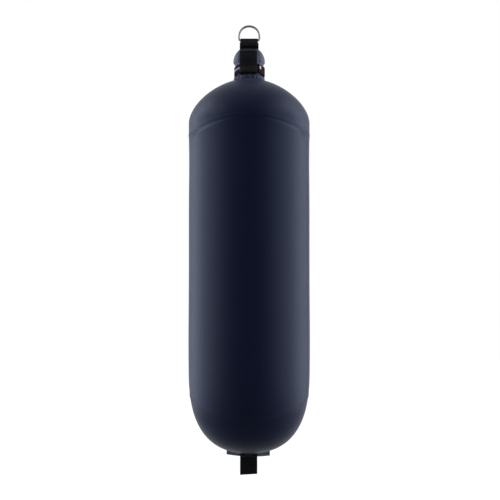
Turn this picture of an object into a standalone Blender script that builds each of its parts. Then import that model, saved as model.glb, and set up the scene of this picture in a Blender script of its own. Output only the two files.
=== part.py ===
# Inflatable boat fender, hanging upright from the D-ring of its top strap.
# A sealed air bladder fills a sewn cloth cover made of a top, a sleeve and a bottom. A webbing band
# ties the neck of the cover shut over the valve, and a webbing loop hangs from a tab at the bottom.
# Metres, +Z up, origin at the inside top of the D-ring, front towards -Y.
import math

import bmesh
import bpy
from mathutils import Vector
from mathutils.geometry import interpolate_bezier

# Clearance between pieces that touch
CLEAR = 0.0003

# D-ring
WIRE_RADIUS = 0.0025
RING_INNER_RADIUS = 0.0211
RING_LEG = 0.0051
RING_CORNER_RADIUS = 0.004

# Webbing strap that carries the ring
STRAP_WIDTH = 0.040
STRAP_THICKNESS = 0.0014
STRAP_SKEW = 0.0019
STRAP_PINCH_RISE = 0.0024
STRAP_SEWN_END = 0.50
STRAP_FOLD_DROP = 0.0095
STRAP_ROOM = 0.00045
STRAP_PARTING = 0.93
STRAP_PINCH_PULLS = (0.45, 0.27)
STRAP_LIFT_RUN = (0.16, 0.14)
STRAP_TAUT_TOP = 0.25
STRAP_INNER_TOP = 0.1
STRAP_SKEW_RUN = (0.004, 0.012)
STRAP_HUG_RUN = (0.003, 0.017)
STRAP_HUG_WIDTH = 0.62
RING_TO_TUFT = 0.0139

# Cloth of the cover, and the lapped seams between its panels
CLOTH = 0.0010
SEAM_WIDTH = 0.008
SEAM_LAP = 0.0008

# Rounded tuft of cloth above the neck band
TUFT_HEIGHT = 0.0375
TUFT_HALF_WIDTH = 0.037
TUFT_HALF_DEPTH = 0.033
TUFT_TAPER = 1.6
TUFT_TO_BAND = 0.0216
TUFT_LEVELS = (0.97, 0.88, 0.74, 0.55, 0.3, 0.0)
TUFT_GATHER_SHARE = 0.4

# Neck of the cover, drawn in under the band
WAIST_HALF_WIDTH = 0.0324
WAIST_HALF_DEPTH = 0.0303
NECK_RADIUS = 0.036
NECK_ROLL = 0.0035
NECK_FILLET = 0.006
GATHER_COUNT = 12
GATHER_DEPTH = 0.0011
GATHER_FADE_ROWS = 4

# Neck band, a hook-and-loop webbing strip wound once round with its end lapped on the right
BAND_WIDTH = 0.020
BAND_THICKNESS = 0.0012
BAND_SLACK = 0.0013
BAND_RISE = 0.004
STRAP_EDGE_RISE = 0.6
BAND_START = math.radians(120)
BAND_END = math.radians(42)
BAND_RAMP = math.radians(22)
BAND_TIP_RADIUS = 0.008
BAND_TO_POLE = 0.0165

# Body of the cover: straight middle between a tapering top dome and a squarer bottom dome
BODY_RADIUS = 0.140
BODY_LENGTH = 0.8643
TOP_DOME_HEIGHT = 0.104
BOTTOM_DOME_HEIGHT = 0.190
TOP_DOME_POWER = 1.7
BOTTOM_DOME_POWER = 2.6
TOP_SEAM_DROP = TOP_DOME_HEIGHT
BOTTOM_SEAM_ON_DOME = 0.0898
BOTTOM_SEAM_RISE = BOTTOM_DOME_HEIGHT - BOTTOM_SEAM_ON_DOME
SEAM_WAVE = 0.031
SIDE_SEAM_ANGLE = math.radians(71)
TOP_DOME_END = math.radians(9)
BOTTOM_DOME_END = math.radians(87)

# Bladder
BLADDER_CLEAR = 0.0009

# Valve in the neck
VALVE_FLANGE_RADIUS = 0.030
VALVE_FLANGE_THICKNESS = 0.0015
VALVE_WELD_MARGIN = 0.001
VALVE_COLLAR_RADIUS = 0.020
VALVE_COLLAR_HEIGHT = 0.014
VALVE_BORE_RADIUS = 0.016
INSERT_WALL = 0.0025
INSERT_RIM_RADIUS = 0.0192
INSERT_RIM_THICKNESS = 0.0015
INSERT_DEPTH = 0.009
INSERT_FLOOR = 0.0015
INSERT_HOLE_RADIUS = 0.0025
INSERT_HOLE_COUNT = 4
SEAL_WIRE_RADIUS = 0.0008
STEM_RADIUS = 0.0015
STEM_HEAD_RADIUS = 0.0022
STEM_HEAD_HEIGHT = 0.0012
MEMBRANE_THICKNESS = 0.0008
CAP_WALL = 0.002
CAP_SKIRT_HEIGHT = 0.010
CAP_GRIP_COUNT = 12
CAP_GRIP_DEPTH = 0.0006

# Tab and webbing loop at the bottom
TAB_WIDTH = 0.1008
TAB_HEIGHT = 0.0139
TAB_SAG = 0.0035
TAB_HEM = 0.007
TAB_HEM_LAP = 0.0005
LOOP_DROP = 0.0554
LOOP_HALF_GAP = 0.0077
LOOP_LEAN = math.radians(3.3)
LOOP_SEAT_DROP = 0.0046

# Facets
BODY_SEGMENTS = 48
VALVE_SEGMENTS = 24
STRAP_COLUMNS = 6

# Heights that follow from the sizes above
RING_CENTRE_Z = -RING_INNER_RADIUS
RING_MID_RADIUS = RING_INNER_RADIUS + WIRE_RADIUS
RING_BAR_Z = RING_CENTRE_Z - RING_LEG - RING_CORNER_RADIUS
TUFT_TOP_Z = RING_BAR_Z - RING_TO_TUFT
TUFT_WIDE_Z = TUFT_TOP_Z - TUFT_HEIGHT
BAND_Z = TUFT_WIDE_Z - TUFT_TO_BAND
POLE_Z = BAND_Z - BAND_TO_POLE
TOP_DOME_Z = POLE_Z - TOP_DOME_HEIGHT
BOTTOM_Z = POLE_Z - BODY_LENGTH
BOTTOM_DOME_Z = BOTTOM_Z + BOTTOM_DOME_HEIGHT
FOLD_Z = BAND_Z + BAND_RISE - BAND_WIDTH / 2 - STRAP_FOLD_DROP / 2


def material(name, colour, roughness, metallic=0.0):
    made = bpy.data.materials.new(name)
    made.use_nodes = True
    shader = made.node_tree.nodes["Principled BSDF"]
    shader.inputs["Base Color"].default_value = (*colour, 1.0)
    shader.inputs["Roughness"].default_value = roughness
    shader.inputs["Metallic"].default_value = metallic
    return made


def add_object(name, mesh_data, finish, crease=30):
    mesh = bpy.data.meshes.new(name)
    bmesh.ops.recalc_face_normals(mesh_data, faces=mesh_data.faces[:])
    mesh_data.to_mesh(mesh)
    mesh_data.free()
    mesh.shade_smooth()
    mesh.set_sharp_from_angle(angle=math.radians(crease))
    mesh.materials.append(finish)
    made = bpy.data.objects.new(name, mesh)
    bpy.context.scene.collection.objects.link(made)
    return made


def loft(rings, wrap=False):
    """Skins a row of equal closed rings, joined end to end or filled at both ends."""
    mesh_data = bmesh.new()
    rows = [[mesh_data.verts.new(point) for point in ring] for ring in rings]
    pairs = list(zip(rows, rows[1:]))
    if wrap:
        pairs.append((rows[-1], rows[0]))
    for low, high in pairs:
        count = len(low)
        for i in range(count):
            j = (i + 1) % count
            mesh_data.faces.new((low[i], low[j], high[j], high[i]))
    if not wrap:
        mesh_data.faces.new(rows[0])
        mesh_data.faces.new(rows[-1])
    return mesh_data


def ramp(value):
    """Smooth rise from 0 to 1."""
    value = min(max(value, 0.0), 1.0)
    return value * value * (3 - 2 * value)


def compass(count):
    """Even angles round the fender, from the front (-Y) towards the right (+X)."""
    return [math.tau * i / count for i in range(count)]


def oval(half_width, half_depth, z, angles):
    return [Vector((half_width * math.sin(a), -half_depth * math.cos(a), z)) for a in angles]


def dome_radius(z, inset=0.0):
    """Radius of the body at height z, on a surface set in by a wall or a clearance."""
    radius = BODY_RADIUS - inset
    if z > TOP_DOME_Z:
        share = (z - TOP_DOME_Z) / (TOP_DOME_HEIGHT - inset)
        power = TOP_DOME_POWER
    elif z < BOTTOM_DOME_Z:
        share = (BOTTOM_DOME_Z - z) / (BOTTOM_DOME_HEIGHT - inset)
        power = BOTTOM_DOME_POWER
    else:
        return radius
    return radius * max(1 - share**power, 0.0) ** (1 / power)


def dome_drop(radius, height, power, inset=0.0):
    """Height over the dome's base at a distance from the axis, on a surface set in by inset."""
    share = min(radius / (BODY_RADIUS - inset), 1.0)
    return (height - inset) * (1 - share**power) ** (1 / power)


def seam_z(angle, front_z, wave):
    """Height of a cross seam, which bows towards its end of the body at the front and the back."""
    return front_z - wave * math.sin(angle) ** 2


def top_seam(angle):
    return seam_z(angle, POLE_Z - TOP_SEAM_DROP, SEAM_WAVE)


def bottom_seam(angle):
    return seam_z(angle, BOTTOM_Z + BOTTOM_SEAM_RISE, -SEAM_WAVE)


def skirt(seam, gap, first_z, inset):
    """Rings of an end panel from its edge under the sleeve's hem to its first level ring."""
    row_count = 3
    rings = []
    for i in range(row_count):
        ring = []
        for a in compass(BODY_SEGMENTS):
            rim_z = seam(a) + gap
            z = rim_z + (first_z - rim_z) * i / row_count
            ring += oval(dome_radius(z, inset), dome_radius(z, inset), z, [a])
        rings.append(ring)
    return rings


def build_ring(steel):
    """Round wire bent to a D and welded shut in the bar, which the strap hides."""
    bar_half = RING_MID_RADIUS - RING_CORNER_RADIUS
    corner_z = RING_BAR_Z + RING_CORNER_RADIUS
    arc_steps = 26
    corner_steps = 4
    route = []
    for i in range(arc_steps + 1):
        turn = math.pi * i / arc_steps
        route.append((RING_MID_RADIUS * math.cos(turn), RING_CENTRE_Z + RING_MID_RADIUS * math.sin(turn)))
    for side, start in ((-1, math.pi), (1, 1.5 * math.pi)):
        for i in range(corner_steps + 1):
            turn = start + math.pi / 2 * i / corner_steps
            x = side * bar_half + RING_CORNER_RADIUS * math.cos(turn)
            route.append((x, corner_z + RING_CORNER_RADIUS * math.sin(turn)))
    curve = bpy.data.curves.new("d_ring", "CURVE")
    curve.dimensions = "3D"
    curve.bevel_depth = WIRE_RADIUS
    curve.bevel_resolution = 4
    spline = curve.splines.new("POLY")
    spline.points.add(len(route) - 1)
    for point, (x, z) in zip(spline.points, route):
        point.co = (x, 0.0, z, 1.0)
    spline.use_cyclic_u = True
    curve.materials.append(steel)
    made = bpy.data.objects.new("d_ring", curve)
    bpy.context.scene.collection.objects.link(made)


def tuft_share(z):
    return min(max((z - TUFT_WIDE_Z) / TUFT_HEIGHT, 0.0), 1.0)


def neck_size(z, wide, waist, waist_low, waist_high):
    """Half size of the neck across one way: rolled out below the band, drawn in under it."""
    if z >= waist_high:
        reach = TUFT_WIDE_Z - waist_high
        return waist + (wide - waist) * ramp((z - waist_high) / reach)
    return waist + (NECK_RADIUS - waist) * ramp((waist_low - z) / NECK_ROLL)


def half_width(z):
    side_low = BAND_Z - BAND_WIDTH / 2 - CLEAR
    side_high = BAND_Z + BAND_WIDTH / 2 + BAND_RISE * STRAP_EDGE_RISE + CLEAR
    round_top = math.sqrt(1 - tuft_share(z) ** 2)
    return round_top * neck_size(z, TUFT_HALF_WIDTH, WAIST_HALF_WIDTH, side_low, side_high)


def half_depth(z):
    front_low = FOLD_Z - STRAP_THICKNESS - CLEAR
    front_high = BAND_Z + BAND_RISE + BAND_WIDTH / 2 + 2 * CLEAR
    wedge = 1 - tuft_share(z) ** TUFT_TAPER
    return wedge * neck_size(z, TUFT_HALF_DEPTH, WAIST_HALF_DEPTH, front_low, front_high)


def neck_foot():
    """Slope angle of the dome where the fillet of the neck runs out, and the height of its start."""
    slope = 0.0
    for _ in range(8):
        foot = NECK_RADIUS + NECK_FILLET * (1 - math.sin(slope))
        share = foot / BODY_RADIUS
        rise = TOP_DOME_HEIGHT / BODY_RADIUS * share ** (TOP_DOME_POWER - 1)
        slope = math.atan(rise * (1 - share**TOP_DOME_POWER) ** (1 / TOP_DOME_POWER - 1))
    dome_z = TOP_DOME_Z + dome_drop(foot, TOP_DOME_HEIGHT, TOP_DOME_POWER)
    return slope, dome_z + NECK_FILLET * math.cos(slope)


def cover_top_stations():
    """Half width, half depth, height and gather strength of the top panel, from the tuft down."""
    stations = []
    for share in TUFT_LEVELS:
        z = TUFT_WIDE_Z + share * TUFT_HEIGHT
        strength = TUFT_GATHER_SHARE + (1 - TUFT_GATHER_SHARE) * (1 - share)
        stations.append((half_width(z), half_depth(z), z, strength))
    slope, fillet_z = neck_foot()
    neck_steps = 9
    for i in range(1, neck_steps + 1):
        z = TUFT_WIDE_Z + (fillet_z - TUFT_WIDE_Z) * i / neck_steps
        stations.append((half_width(z), half_depth(z), z, 1.0))
    fillet_steps = 3
    for i in range(1, fillet_steps + 1):
        turn = (math.pi / 2 - slope) * i / fillet_steps
        radius = NECK_RADIUS + NECK_FILLET * (1 - math.cos(turn))
        z = fillet_z - NECK_FILLET * math.sin(turn)
        stations.append((radius, radius, z, 1.0))
    foot = stations[-1][0]
    exponent = 2 / TOP_DOME_POWER
    start = math.acos((foot / BODY_RADIUS) ** (1 / exponent))
    end = TOP_DOME_END
    dome_steps = 8
    for i in range(1, dome_steps + 1):
        turn = start + (end - start) * i / dome_steps
        radius = BODY_RADIUS * math.cos(turn) ** exponent
        z = TOP_DOME_Z + TOP_DOME_HEIGHT * math.sin(turn) ** exponent
        stations.append((radius, radius, z, max(1 - i / GATHER_FADE_ROWS, 0.0)))
    return stations


def gathered(half_wide, half_deep, z, strength, angles):
    """Oval ring of the top panel with its cloth drawn into shallow gathers."""
    ring = []
    for a in angles:
        dip = GATHER_DEPTH * strength * (0.5 - 0.5 * math.cos(GATHER_COUNT * a))
        ring.append(Vector(((half_wide - dip) * math.sin(a), -(half_deep - dip) * math.cos(a), z)))
    return ring


def build_cover_top(cloth):
    """Top panel: dome, gathered neck and closed tuft in one cloth, open below at the seam."""
    angles = compass(BODY_SEGMENTS)
    stations = cover_top_stations()
    outer = [gathered(*station, angles) for station in stations]
    inner = []
    for i, (wide, deep, z, strength) in enumerate(stations):
        above = stations[max(i - 1, 0)]
        below = stations[min(i + 1, len(stations) - 1)]
        out = (below[0] + below[1] - above[0] - above[1]) / 2
        down = above[2] - below[2]
        length = math.hypot(out, down)
        shift = CLOTH * down / length
        drop = CLOTH * out / length
        inner.append(gathered(wide - shift, deep - shift, z - drop, strength, angles))
    first_z = stations[-1][2]
    skirt_outer = skirt(top_seam, CLEAR, first_z, 0.0)
    skirt_inner = skirt(top_seam, CLEAR, first_z, CLOTH)
    shell = outer + list(reversed(skirt_outer)) + skirt_inner + inner[:1:-1]
    add_object("cover_top", loft(shell), cloth)


def sleeve_angles():
    """Even angles with four more at the walls of the lengthwise seam."""
    half = SEAM_WIDTH / 2 / BODY_RADIUS
    wall = SEAM_LAP / BODY_RADIUS
    edges = [SIDE_SEAM_ANGLE + offset for offset in (-half - wall, -half, half, half + wall)]
    keep = [a for a in compass(BODY_SEGMENTS) if not edges[0] - wall < a < edges[3] + wall]
    return sorted(keep + edges)


def build_sleeve(cloth):
    """Middle panel: a tube whose hems lap over the end panels, with one lengthwise lapped seam."""
    angles = sleeve_angles()
    lap = SEAM_WIDTH / 2
    lip = CLEAR + SEAM_LAP
    dome_rows = 3
    half_ridge = SEAM_WIDTH / 2 / BODY_RADIUS + 1e-6

    def place(angle, z, rise):
        radius = dome_radius(z) + rise
        return Vector((radius * math.sin(angle), -radius * math.cos(angle), z))

    columns = []
    for a in angles:
        top = top_seam(a)
        low = bottom_seam(a)
        ridge = SEAM_LAP if abs(a - SIDE_SEAM_ANGLE) < half_ridge else 0.0
        bend = BOTTOM_DOME_Z
        levels = [low + (bend - low) * i / dome_rows for i in range(dome_rows)] + [bend]
        levels += [bend + (top - bend) * share for share in (1 / 3, 2 / 3)]
        column = [place(a, z, -CLOTH) for z in levels + [top]]
        column += [place(a, top, CLEAR), place(a, top + lap, CLEAR), place(a, top + lap, lip)]
        column += [place(a, top - lap, lip), place(a, top - lap, ridge)]
        column += [place(a, z, ridge) for z in reversed(levels[1:])]
        column += [place(a, low + lap, ridge), place(a, low + lap, lip)]
        column += [place(a, low - lap, lip), place(a, low - lap, CLEAR), place(a, low, CLEAR)]
        columns.append(column)
    add_object("cover_sleeve", loft(columns, wrap=True), cloth)


def bottom_rows(inset):
    """Rings of the bottom dome between its seam and its pole, set in by inset."""
    angles = compass(BODY_SEGMENTS)
    exponent = 2 / BOTTOM_DOME_POWER
    first = BOTTOM_SEAM_RISE - SEAM_WIDTH
    start = math.asin((1 - first / BOTTOM_DOME_HEIGHT) ** (1 / exponent))
    row_count = 7
    rings = []
    for i in range(row_count):
        turn = start + (BOTTOM_DOME_END - start) * i / (row_count - 1)
        radius = (BODY_RADIUS - inset) * math.cos(turn) ** exponent
        z = BOTTOM_DOME_Z - (BOTTOM_DOME_HEIGHT - inset) * math.sin(turn) ** exponent
        rings.append(oval(radius, radius, z, angles))
    return rings


def build_cover_bottom(cloth):
    """Bottom panel: a shallow cloth bowl that ends under the hem of the sleeve."""
    first_z = BOTTOM_Z + BOTTOM_SEAM_RISE - SEAM_WIDTH
    skirt_outer = skirt(bottom_seam, -CLEAR, first_z, 0.0)
    skirt_inner = skirt(bottom_seam, -CLEAR, first_z, CLOTH)
    outer = list(reversed(bottom_rows(0.0))) + list(reversed(skirt_outer))
    add_object("cover_bottom", loft(outer + skirt_inner + bottom_rows(CLOTH)), cloth)


def bladder_flat_z():
    """Height of the flat at the bladder's top, where the valve is welded on."""
    inset = CLOTH + BLADDER_CLEAR
    rim = VALVE_FLANGE_RADIUS + VALVE_WELD_MARGIN
    return TOP_DOME_Z + dome_drop(rim, TOP_DOME_HEIGHT, TOP_DOME_POWER, inset)


def build_bladder(film):
    """Sealed air bladder, one closed body that fills the cover."""
    angles = compass(BODY_SEGMENTS)
    inset = CLOTH + BLADDER_CLEAR
    exponent = 2 / TOP_DOME_POWER
    rim = (VALVE_FLANGE_RADIUS + VALVE_WELD_MARGIN) / (BODY_RADIUS - inset)
    start = math.acos(rim ** (1 / exponent))
    top_steps = 8
    rings = []
    for i in range(top_steps + 1):
        turn = start * (1 - i / top_steps)
        radius = (BODY_RADIUS - inset) * math.cos(turn) ** exponent
        z = TOP_DOME_Z + (TOP_DOME_HEIGHT - inset) * math.sin(turn) ** exponent
        rings.append(oval(radius, radius, z, angles))
    first_z = BOTTOM_Z + BOTTOM_SEAM_RISE - SEAM_WIDTH
    side_rows = 3
    for i in range(side_rows):
        z = BOTTOM_DOME_Z + (first_z - BOTTOM_DOME_Z) * i / side_rows
        rings.append(oval(dome_radius(z, inset), dome_radius(z, inset), z, angles))
    add_object("bladder", loft(rings + bottom_rows(inset)), film)


def strap_offset_point(z, offset):
    """Point off the front of the tuft and neck, at a distance square to its side outline."""
    span = 0.0005
    slope = (half_depth(z + span) - half_depth(z - span)) / (2 * span)
    length = math.hypot(1.0, slope)
    return -half_depth(z) - offset / length, z - offset * slope / length


def band_half_depth():
    """Half depth of the band's inner face, which clears the strap's inner layer."""
    return WAIST_HALF_DEPTH + STRAP_ROOM + STRAP_THICKNESS + STRAP_ROOM


def strap_half_route():
    """Centre line of the front half of the strap in the YZ plane, from the ring to its inner end."""
    wrap = WIRE_RADIUS + CLEAR + STRAP_THICKNESS / 2
    single = STRAP_ROOM + STRAP_THICKNESS / 2
    double = single + STRAP_THICKNESS + CLEAR
    route = []
    wrap_steps = 7
    for i in range(1, wrap_steps + 1):
        turn = math.pi / 2 * i / wrap_steps
        route.append((-wrap * math.sin(turn), RING_BAR_Z + wrap * math.cos(turn)))
    pinch_y = -(CLEAR + STRAP_THICKNESS) / 2
    pinch_z = TUFT_TOP_Z + STRAP_PINCH_RISE
    drop = Vector((0.0, 0.0, pinch_z - RING_BAR_Z))
    start = Vector((0.0, -wrap, RING_BAR_Z))
    end = Vector((0.0, pinch_y, pinch_z))
    start_pull = start + drop * STRAP_PINCH_PULLS[0]
    end_pull = end - drop * STRAP_PINCH_PULLS[1]
    for point in interpolate_bezier(start, start_pull, end_pull, end, 7)[1:]:
        route.append((point.y, point.z))
    tuft_steps = 12
    for i in range(tuft_steps + 1):
        share = STRAP_PARTING * (1 - i / tuft_steps)
        z = TUFT_WIDE_Z + share * TUFT_HEIGHT
        spread = ramp((STRAP_SEWN_END + STRAP_LIFT_RUN[0] - share) / STRAP_LIFT_RUN[1])
        route.append(strap_offset_point(z, single + (double - single) * spread))
    outer_y = -(band_half_depth() + BAND_THICKNESS + single)
    inner_y = -(WAIST_HALF_DEPTH + single)
    fold = (inner_y - outer_y) / 2
    centre_z = FOLD_Z + fold
    side_steps = 3
    top_z = TUFT_WIDE_Z - STRAP_TAUT_TOP * TUFT_TO_BAND
    for i in range(side_steps + 1):
        route.append((outer_y, top_z + (centre_z - top_z) * i / side_steps))
    fold_steps = 6
    for i in range(1, fold_steps):
        turn = math.pi * i / fold_steps
        y = (outer_y + inner_y) / 2 - fold * math.cos(turn)
        route.append((y, centre_z - fold * math.sin(turn)))
    inner_top = BAND_Z + BAND_RISE + BAND_WIDTH / 2 + CLEAR
    for i in range(side_steps + 1):
        route.append((inner_y, centre_z + (inner_top - centre_z) * i / side_steps))
    rise_steps = 10
    rise_z = TUFT_WIDE_Z - STRAP_INNER_TOP * TUFT_TO_BAND
    end_z = TUFT_WIDE_Z + STRAP_SEWN_END * TUFT_HEIGHT
    for i in range(rise_steps + 1):
        route.append(strap_offset_point(rise_z + (end_z - rise_z) * i / rise_steps, single))
    return route


def strap_sag(x, y, z):
    """How far the webbing bends back at a distance x from its middle, round the tuft and neck."""
    deep = abs(y)
    hold = ramp((deep - STRAP_HUG_RUN[0]) / STRAP_HUG_RUN[1])
    wide = max(deep + half_width(z) - half_depth(z), STRAP_HUG_WIDTH * STRAP_WIDTH)
    return hold * deep * (1 - math.sqrt(1 - min(abs(x) / wide, 1.0) ** 2))


def ribbon(route, thickness, width, place):
    """Skins a flat strip along a route of (y, z) points, where place(x, y, z) sets each corner."""
    half = thickness / 2
    offsets = [width * (i / STRAP_COLUMNS - 0.5) for i in range(STRAP_COLUMNS + 1)]
    rings = []
    for i, (y, z) in enumerate(route):
        before = route[max(i - 1, 0)]
        after = route[min(i + 1, len(route) - 1)]
        run = math.hypot(after[0] - before[0], after[1] - before[1])
        across = (-(after[1] - before[1]) / run, (after[0] - before[0]) / run)
        near = [place(x, y, z, across[0] * half, across[1] * half) for x in offsets]
        far = [place(x, y, z, -across[0] * half, -across[1] * half) for x in reversed(offsets)]
        rings.append(near + far)
    return loft(rings)


def build_top_strap(webbing):
    """One length of webbing round the ring's bar, both ends folded up inside the neck band."""
    front = strap_half_route()
    wrap_top = (0.0, RING_BAR_Z + WIRE_RADIUS + CLEAR + STRAP_THICKNESS / 2)
    back = [(-y, z) for y, z in front]
    route = list(reversed(back)) + [wrap_top] + front

    def place(x, y, z, shift_y, shift_z):
        side = 1.0 if y > 0 else -1.0
        x += side * STRAP_SKEW * ramp((RING_BAR_Z - z - STRAP_SKEW_RUN[0]) / STRAP_SKEW_RUN[1])
        bend = -side * strap_sag(x, y, z)
        return Vector((x, y + bend + shift_y, z + shift_z))

    add_object("top_strap", ribbon(route, STRAP_THICKNESS, STRAP_WIDTH, place), webbing)


def build_neck_band(webbing):
    """Band wound once round the waist of the neck, drawn up at the front and the back."""
    wide = WAIST_HALF_WIDTH + BAND_SLACK
    deep = band_half_depth()
    total = math.tau + BAND_START - BAND_END
    step_count = 72
    rings = []
    for i in range(step_count + 1):
        travel = total * i / step_count
        angle = BAND_START - travel
        layer = ramp((travel - (math.tau - BAND_RAMP)) / BAND_RAMP) * (BAND_THICKNESS + CLEAR)
        left = (total - travel) * wide
        half = BAND_WIDTH / 2
        if left < BAND_TIP_RADIUS:
            half -= BAND_TIP_RADIUS - math.sqrt(BAND_TIP_RADIUS**2 - (BAND_TIP_RADIUS - left) ** 2)
        middle = BAND_Z + BAND_RISE * math.cos(angle) ** 2
        inside = layer
        outside = layer + BAND_THICKNESS
        ring = []
        for rise, z in ((inside, -half), (outside, -half), (outside, half), (inside, half)):
            ring += oval(wide + rise, deep + rise, middle + z, [angle])
        rings.append(ring)
    add_object("neck_band", loft(rings), webbing)


def tab_top_z(x):
    return BOTTOM_DOME_Z - dome_drop(abs(x), BOTTOM_DOME_HEIGHT, BOTTOM_DOME_POWER) - CLEAR


def build_bottom_tab(cloth):
    """Flat tab of doubled cloth across the bottom, with a turned hem along its lower edge."""
    column_count = 18
    rings = []
    for i in range(column_count + 1):
        x = TAB_WIDTH * (i / column_count - 0.5)
        top = tab_top_z(x)
        bottom = BOTTOM_Z - TAB_HEIGHT + TAB_SAG * (2 * x / TAB_WIDTH) ** 2
        hem = bottom + TAB_HEM
        thin = CLOTH
        thick = CLOTH + TAB_HEM_LAP
        outline = [(thin, top), (thin, hem), (thick, hem - TAB_HEM_LAP), (thick, bottom)]
        ring = [Vector((x, y, z)) for y, z in outline]
        ring += [Vector((x, -y, z)) for y, z in reversed(outline)]
        rings.append(ring)
    add_object("bottom_tab", loft(rings), cloth)


def build_bottom_loop(webbing):
    """Webbing loop whose legs clasp the tab and whose fold hangs a little askew."""
    tight = CLOTH + TAB_HEM_LAP + CLEAR + STRAP_THICKNESS / 2
    open_y = LOOP_HALF_GAP + STRAP_THICKNESS / 2
    top_z = BOTTOM_Z - LOOP_SEAT_DROP
    tab_z = BOTTOM_Z - TAB_HEIGHT
    centre_z = BOTTOM_Z - LOOP_DROP + STRAP_THICKNESS / 2 + open_y
    leg = [(-tight, top_z), (-tight, (top_z + tab_z) / 2), (-tight, tab_z)]
    open_steps = 6
    for i in range(1, open_steps + 1):
        share = i / open_steps
        spread = tight + (open_y - tight) * ramp(share)
        leg.append((-spread, tab_z + (centre_z - tab_z) * share))
    arc_steps = 9
    arc = []
    for i in range(1, arc_steps):
        turn = math.pi * i / arc_steps
        arc.append((-open_y * math.cos(turn), centre_z - open_y * math.sin(turn)))
    route = leg + arc + [(-y, z) for y, z in reversed(leg)]

    def place(x, y, z, shift_y, shift_z):
        share = ramp((tab_z - z) / (tab_z - centre_z))
        return Vector((x, y + shift_y, z + shift_z + x * math.tan(LOOP_LEAN) * share))

    add_object("bottom_loop", ribbon(route, STRAP_THICKNESS, STRAP_WIDTH, place), webbing)


def turned(profile, segments=VALVE_SEGMENTS, wrap=True):
    """Turns (radius, z) points about the axis, as a closed section or with filled ends."""
    angles = compass(segments)
    return loft([oval(radius, radius, z, angles) for radius, z in profile], wrap)


def build_valve(plastic, rubber):
    """Screw valve: base welded to the bladder, insert with a one-way disc, O-ring and cap."""
    base_z = bladder_flat_z() + CLEAR
    flange_z = base_z + VALVE_FLANGE_THICKNESS
    collar_z = flange_z + VALVE_COLLAR_HEIGHT
    base = [(VALVE_BORE_RADIUS, base_z), (VALVE_FLANGE_RADIUS, base_z), (VALVE_FLANGE_RADIUS, flange_z)]
    base += [(VALVE_COLLAR_RADIUS, flange_z), (VALVE_COLLAR_RADIUS, collar_z), (VALVE_BORE_RADIUS, collar_z)]
    add_object("valve_base", turned(base), plastic)

    seal_z = collar_z + CLEAR + SEAL_WIRE_RADIUS
    seal_radius = (VALVE_BORE_RADIUS + VALVE_COLLAR_RADIUS) / 2
    seal = []
    for turn in compass(6):
        radius = seal_radius + SEAL_WIRE_RADIUS * math.sin(turn)
        seal.append((radius, seal_z + SEAL_WIRE_RADIUS * math.cos(turn)))
    add_object("valve_seal", turned(seal), rubber)

    rim_z = seal_z + SEAL_WIRE_RADIUS + CLEAR
    rim_top = rim_z + INSERT_RIM_THICKNESS
    outer = VALVE_BORE_RADIUS - CLEAR
    inner = outer - INSERT_WALL
    floor_z = rim_z - INSERT_DEPTH
    floor_top = floor_z + INSERT_FLOOR
    hole = STEM_RADIUS + CLEAR
    cup = [(hole, floor_z), (outer, floor_z), (outer, rim_z), (INSERT_RIM_RADIUS, rim_z)]
    cup += [(INSERT_RIM_RADIUS, rim_top), (inner, rim_top), (inner, floor_top), (hole, floor_top)]
    insert = add_object("valve_insert", turned(cup), plastic)
    reach = (hole + inner) / 2
    for i in range(INSERT_HOLE_COUNT):
        angle = math.tau * i / INSERT_HOLE_COUNT + math.pi / VALVE_SEGMENTS
        x = reach * math.sin(angle)
        y = -reach * math.cos(angle)
        drill = turned([(INSERT_HOLE_RADIUS, floor_z - INSERT_FLOOR), (INSERT_HOLE_RADIUS, rim_z)], 12, False)
        bmesh.ops.translate(drill, verts=drill.verts[:], vec=(x, y, 0.0))
        cutter = add_object(f"drill_{i + 1}", drill, plastic)
        cutter.hide_render = True
        cutter.display_type = "WIRE"
        cut = insert.modifiers.new(f"hole_{i + 1}", "BOOLEAN")
        cut.operation = "DIFFERENCE"
        cut.object = cutter

    disc_top = floor_z - CLEAR
    disc = [(inner, disc_top - MEMBRANE_THICKNESS), (inner, disc_top), (STEM_RADIUS, disc_top)]
    disc += [(STEM_RADIUS, floor_top + CLEAR), (STEM_HEAD_RADIUS, floor_top + CLEAR)]
    disc += [(STEM_RADIUS, floor_top + CLEAR + STEM_HEAD_HEIGHT)]
    add_object("valve_membrane", turned(disc, wrap=False), rubber)

    cap_in = VALVE_COLLAR_RADIUS + CLEAR
    roof_z = rim_top + CLEAR
    skirt_z = roof_z - CAP_SKIRT_HEIGHT
    roof_top = roof_z + CAP_WALL
    angles = compass(4 * CAP_GRIP_COUNT)
    rings = []
    for radius, z, grip in (
        (cap_in - CAP_WALL, roof_z, 0),
        (cap_in, roof_z, 0),
        (cap_in, skirt_z, 0),
        (cap_in + CAP_WALL, skirt_z, 1),
        (cap_in + CAP_WALL, roof_top - CAP_WALL / 2, 1),
        (cap_in + CAP_WALL / 2, roof_top, 0),
    ):
        ring = []
        for a in angles:
            dip = grip * CAP_GRIP_DEPTH * (0.5 - 0.5 * math.cos(CAP_GRIP_COUNT * a))
            ring += oval(radius - dip, radius - dip, z, [a])
        rings.append(ring)
    add_object("valve_cap", loft(rings), plastic)


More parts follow.
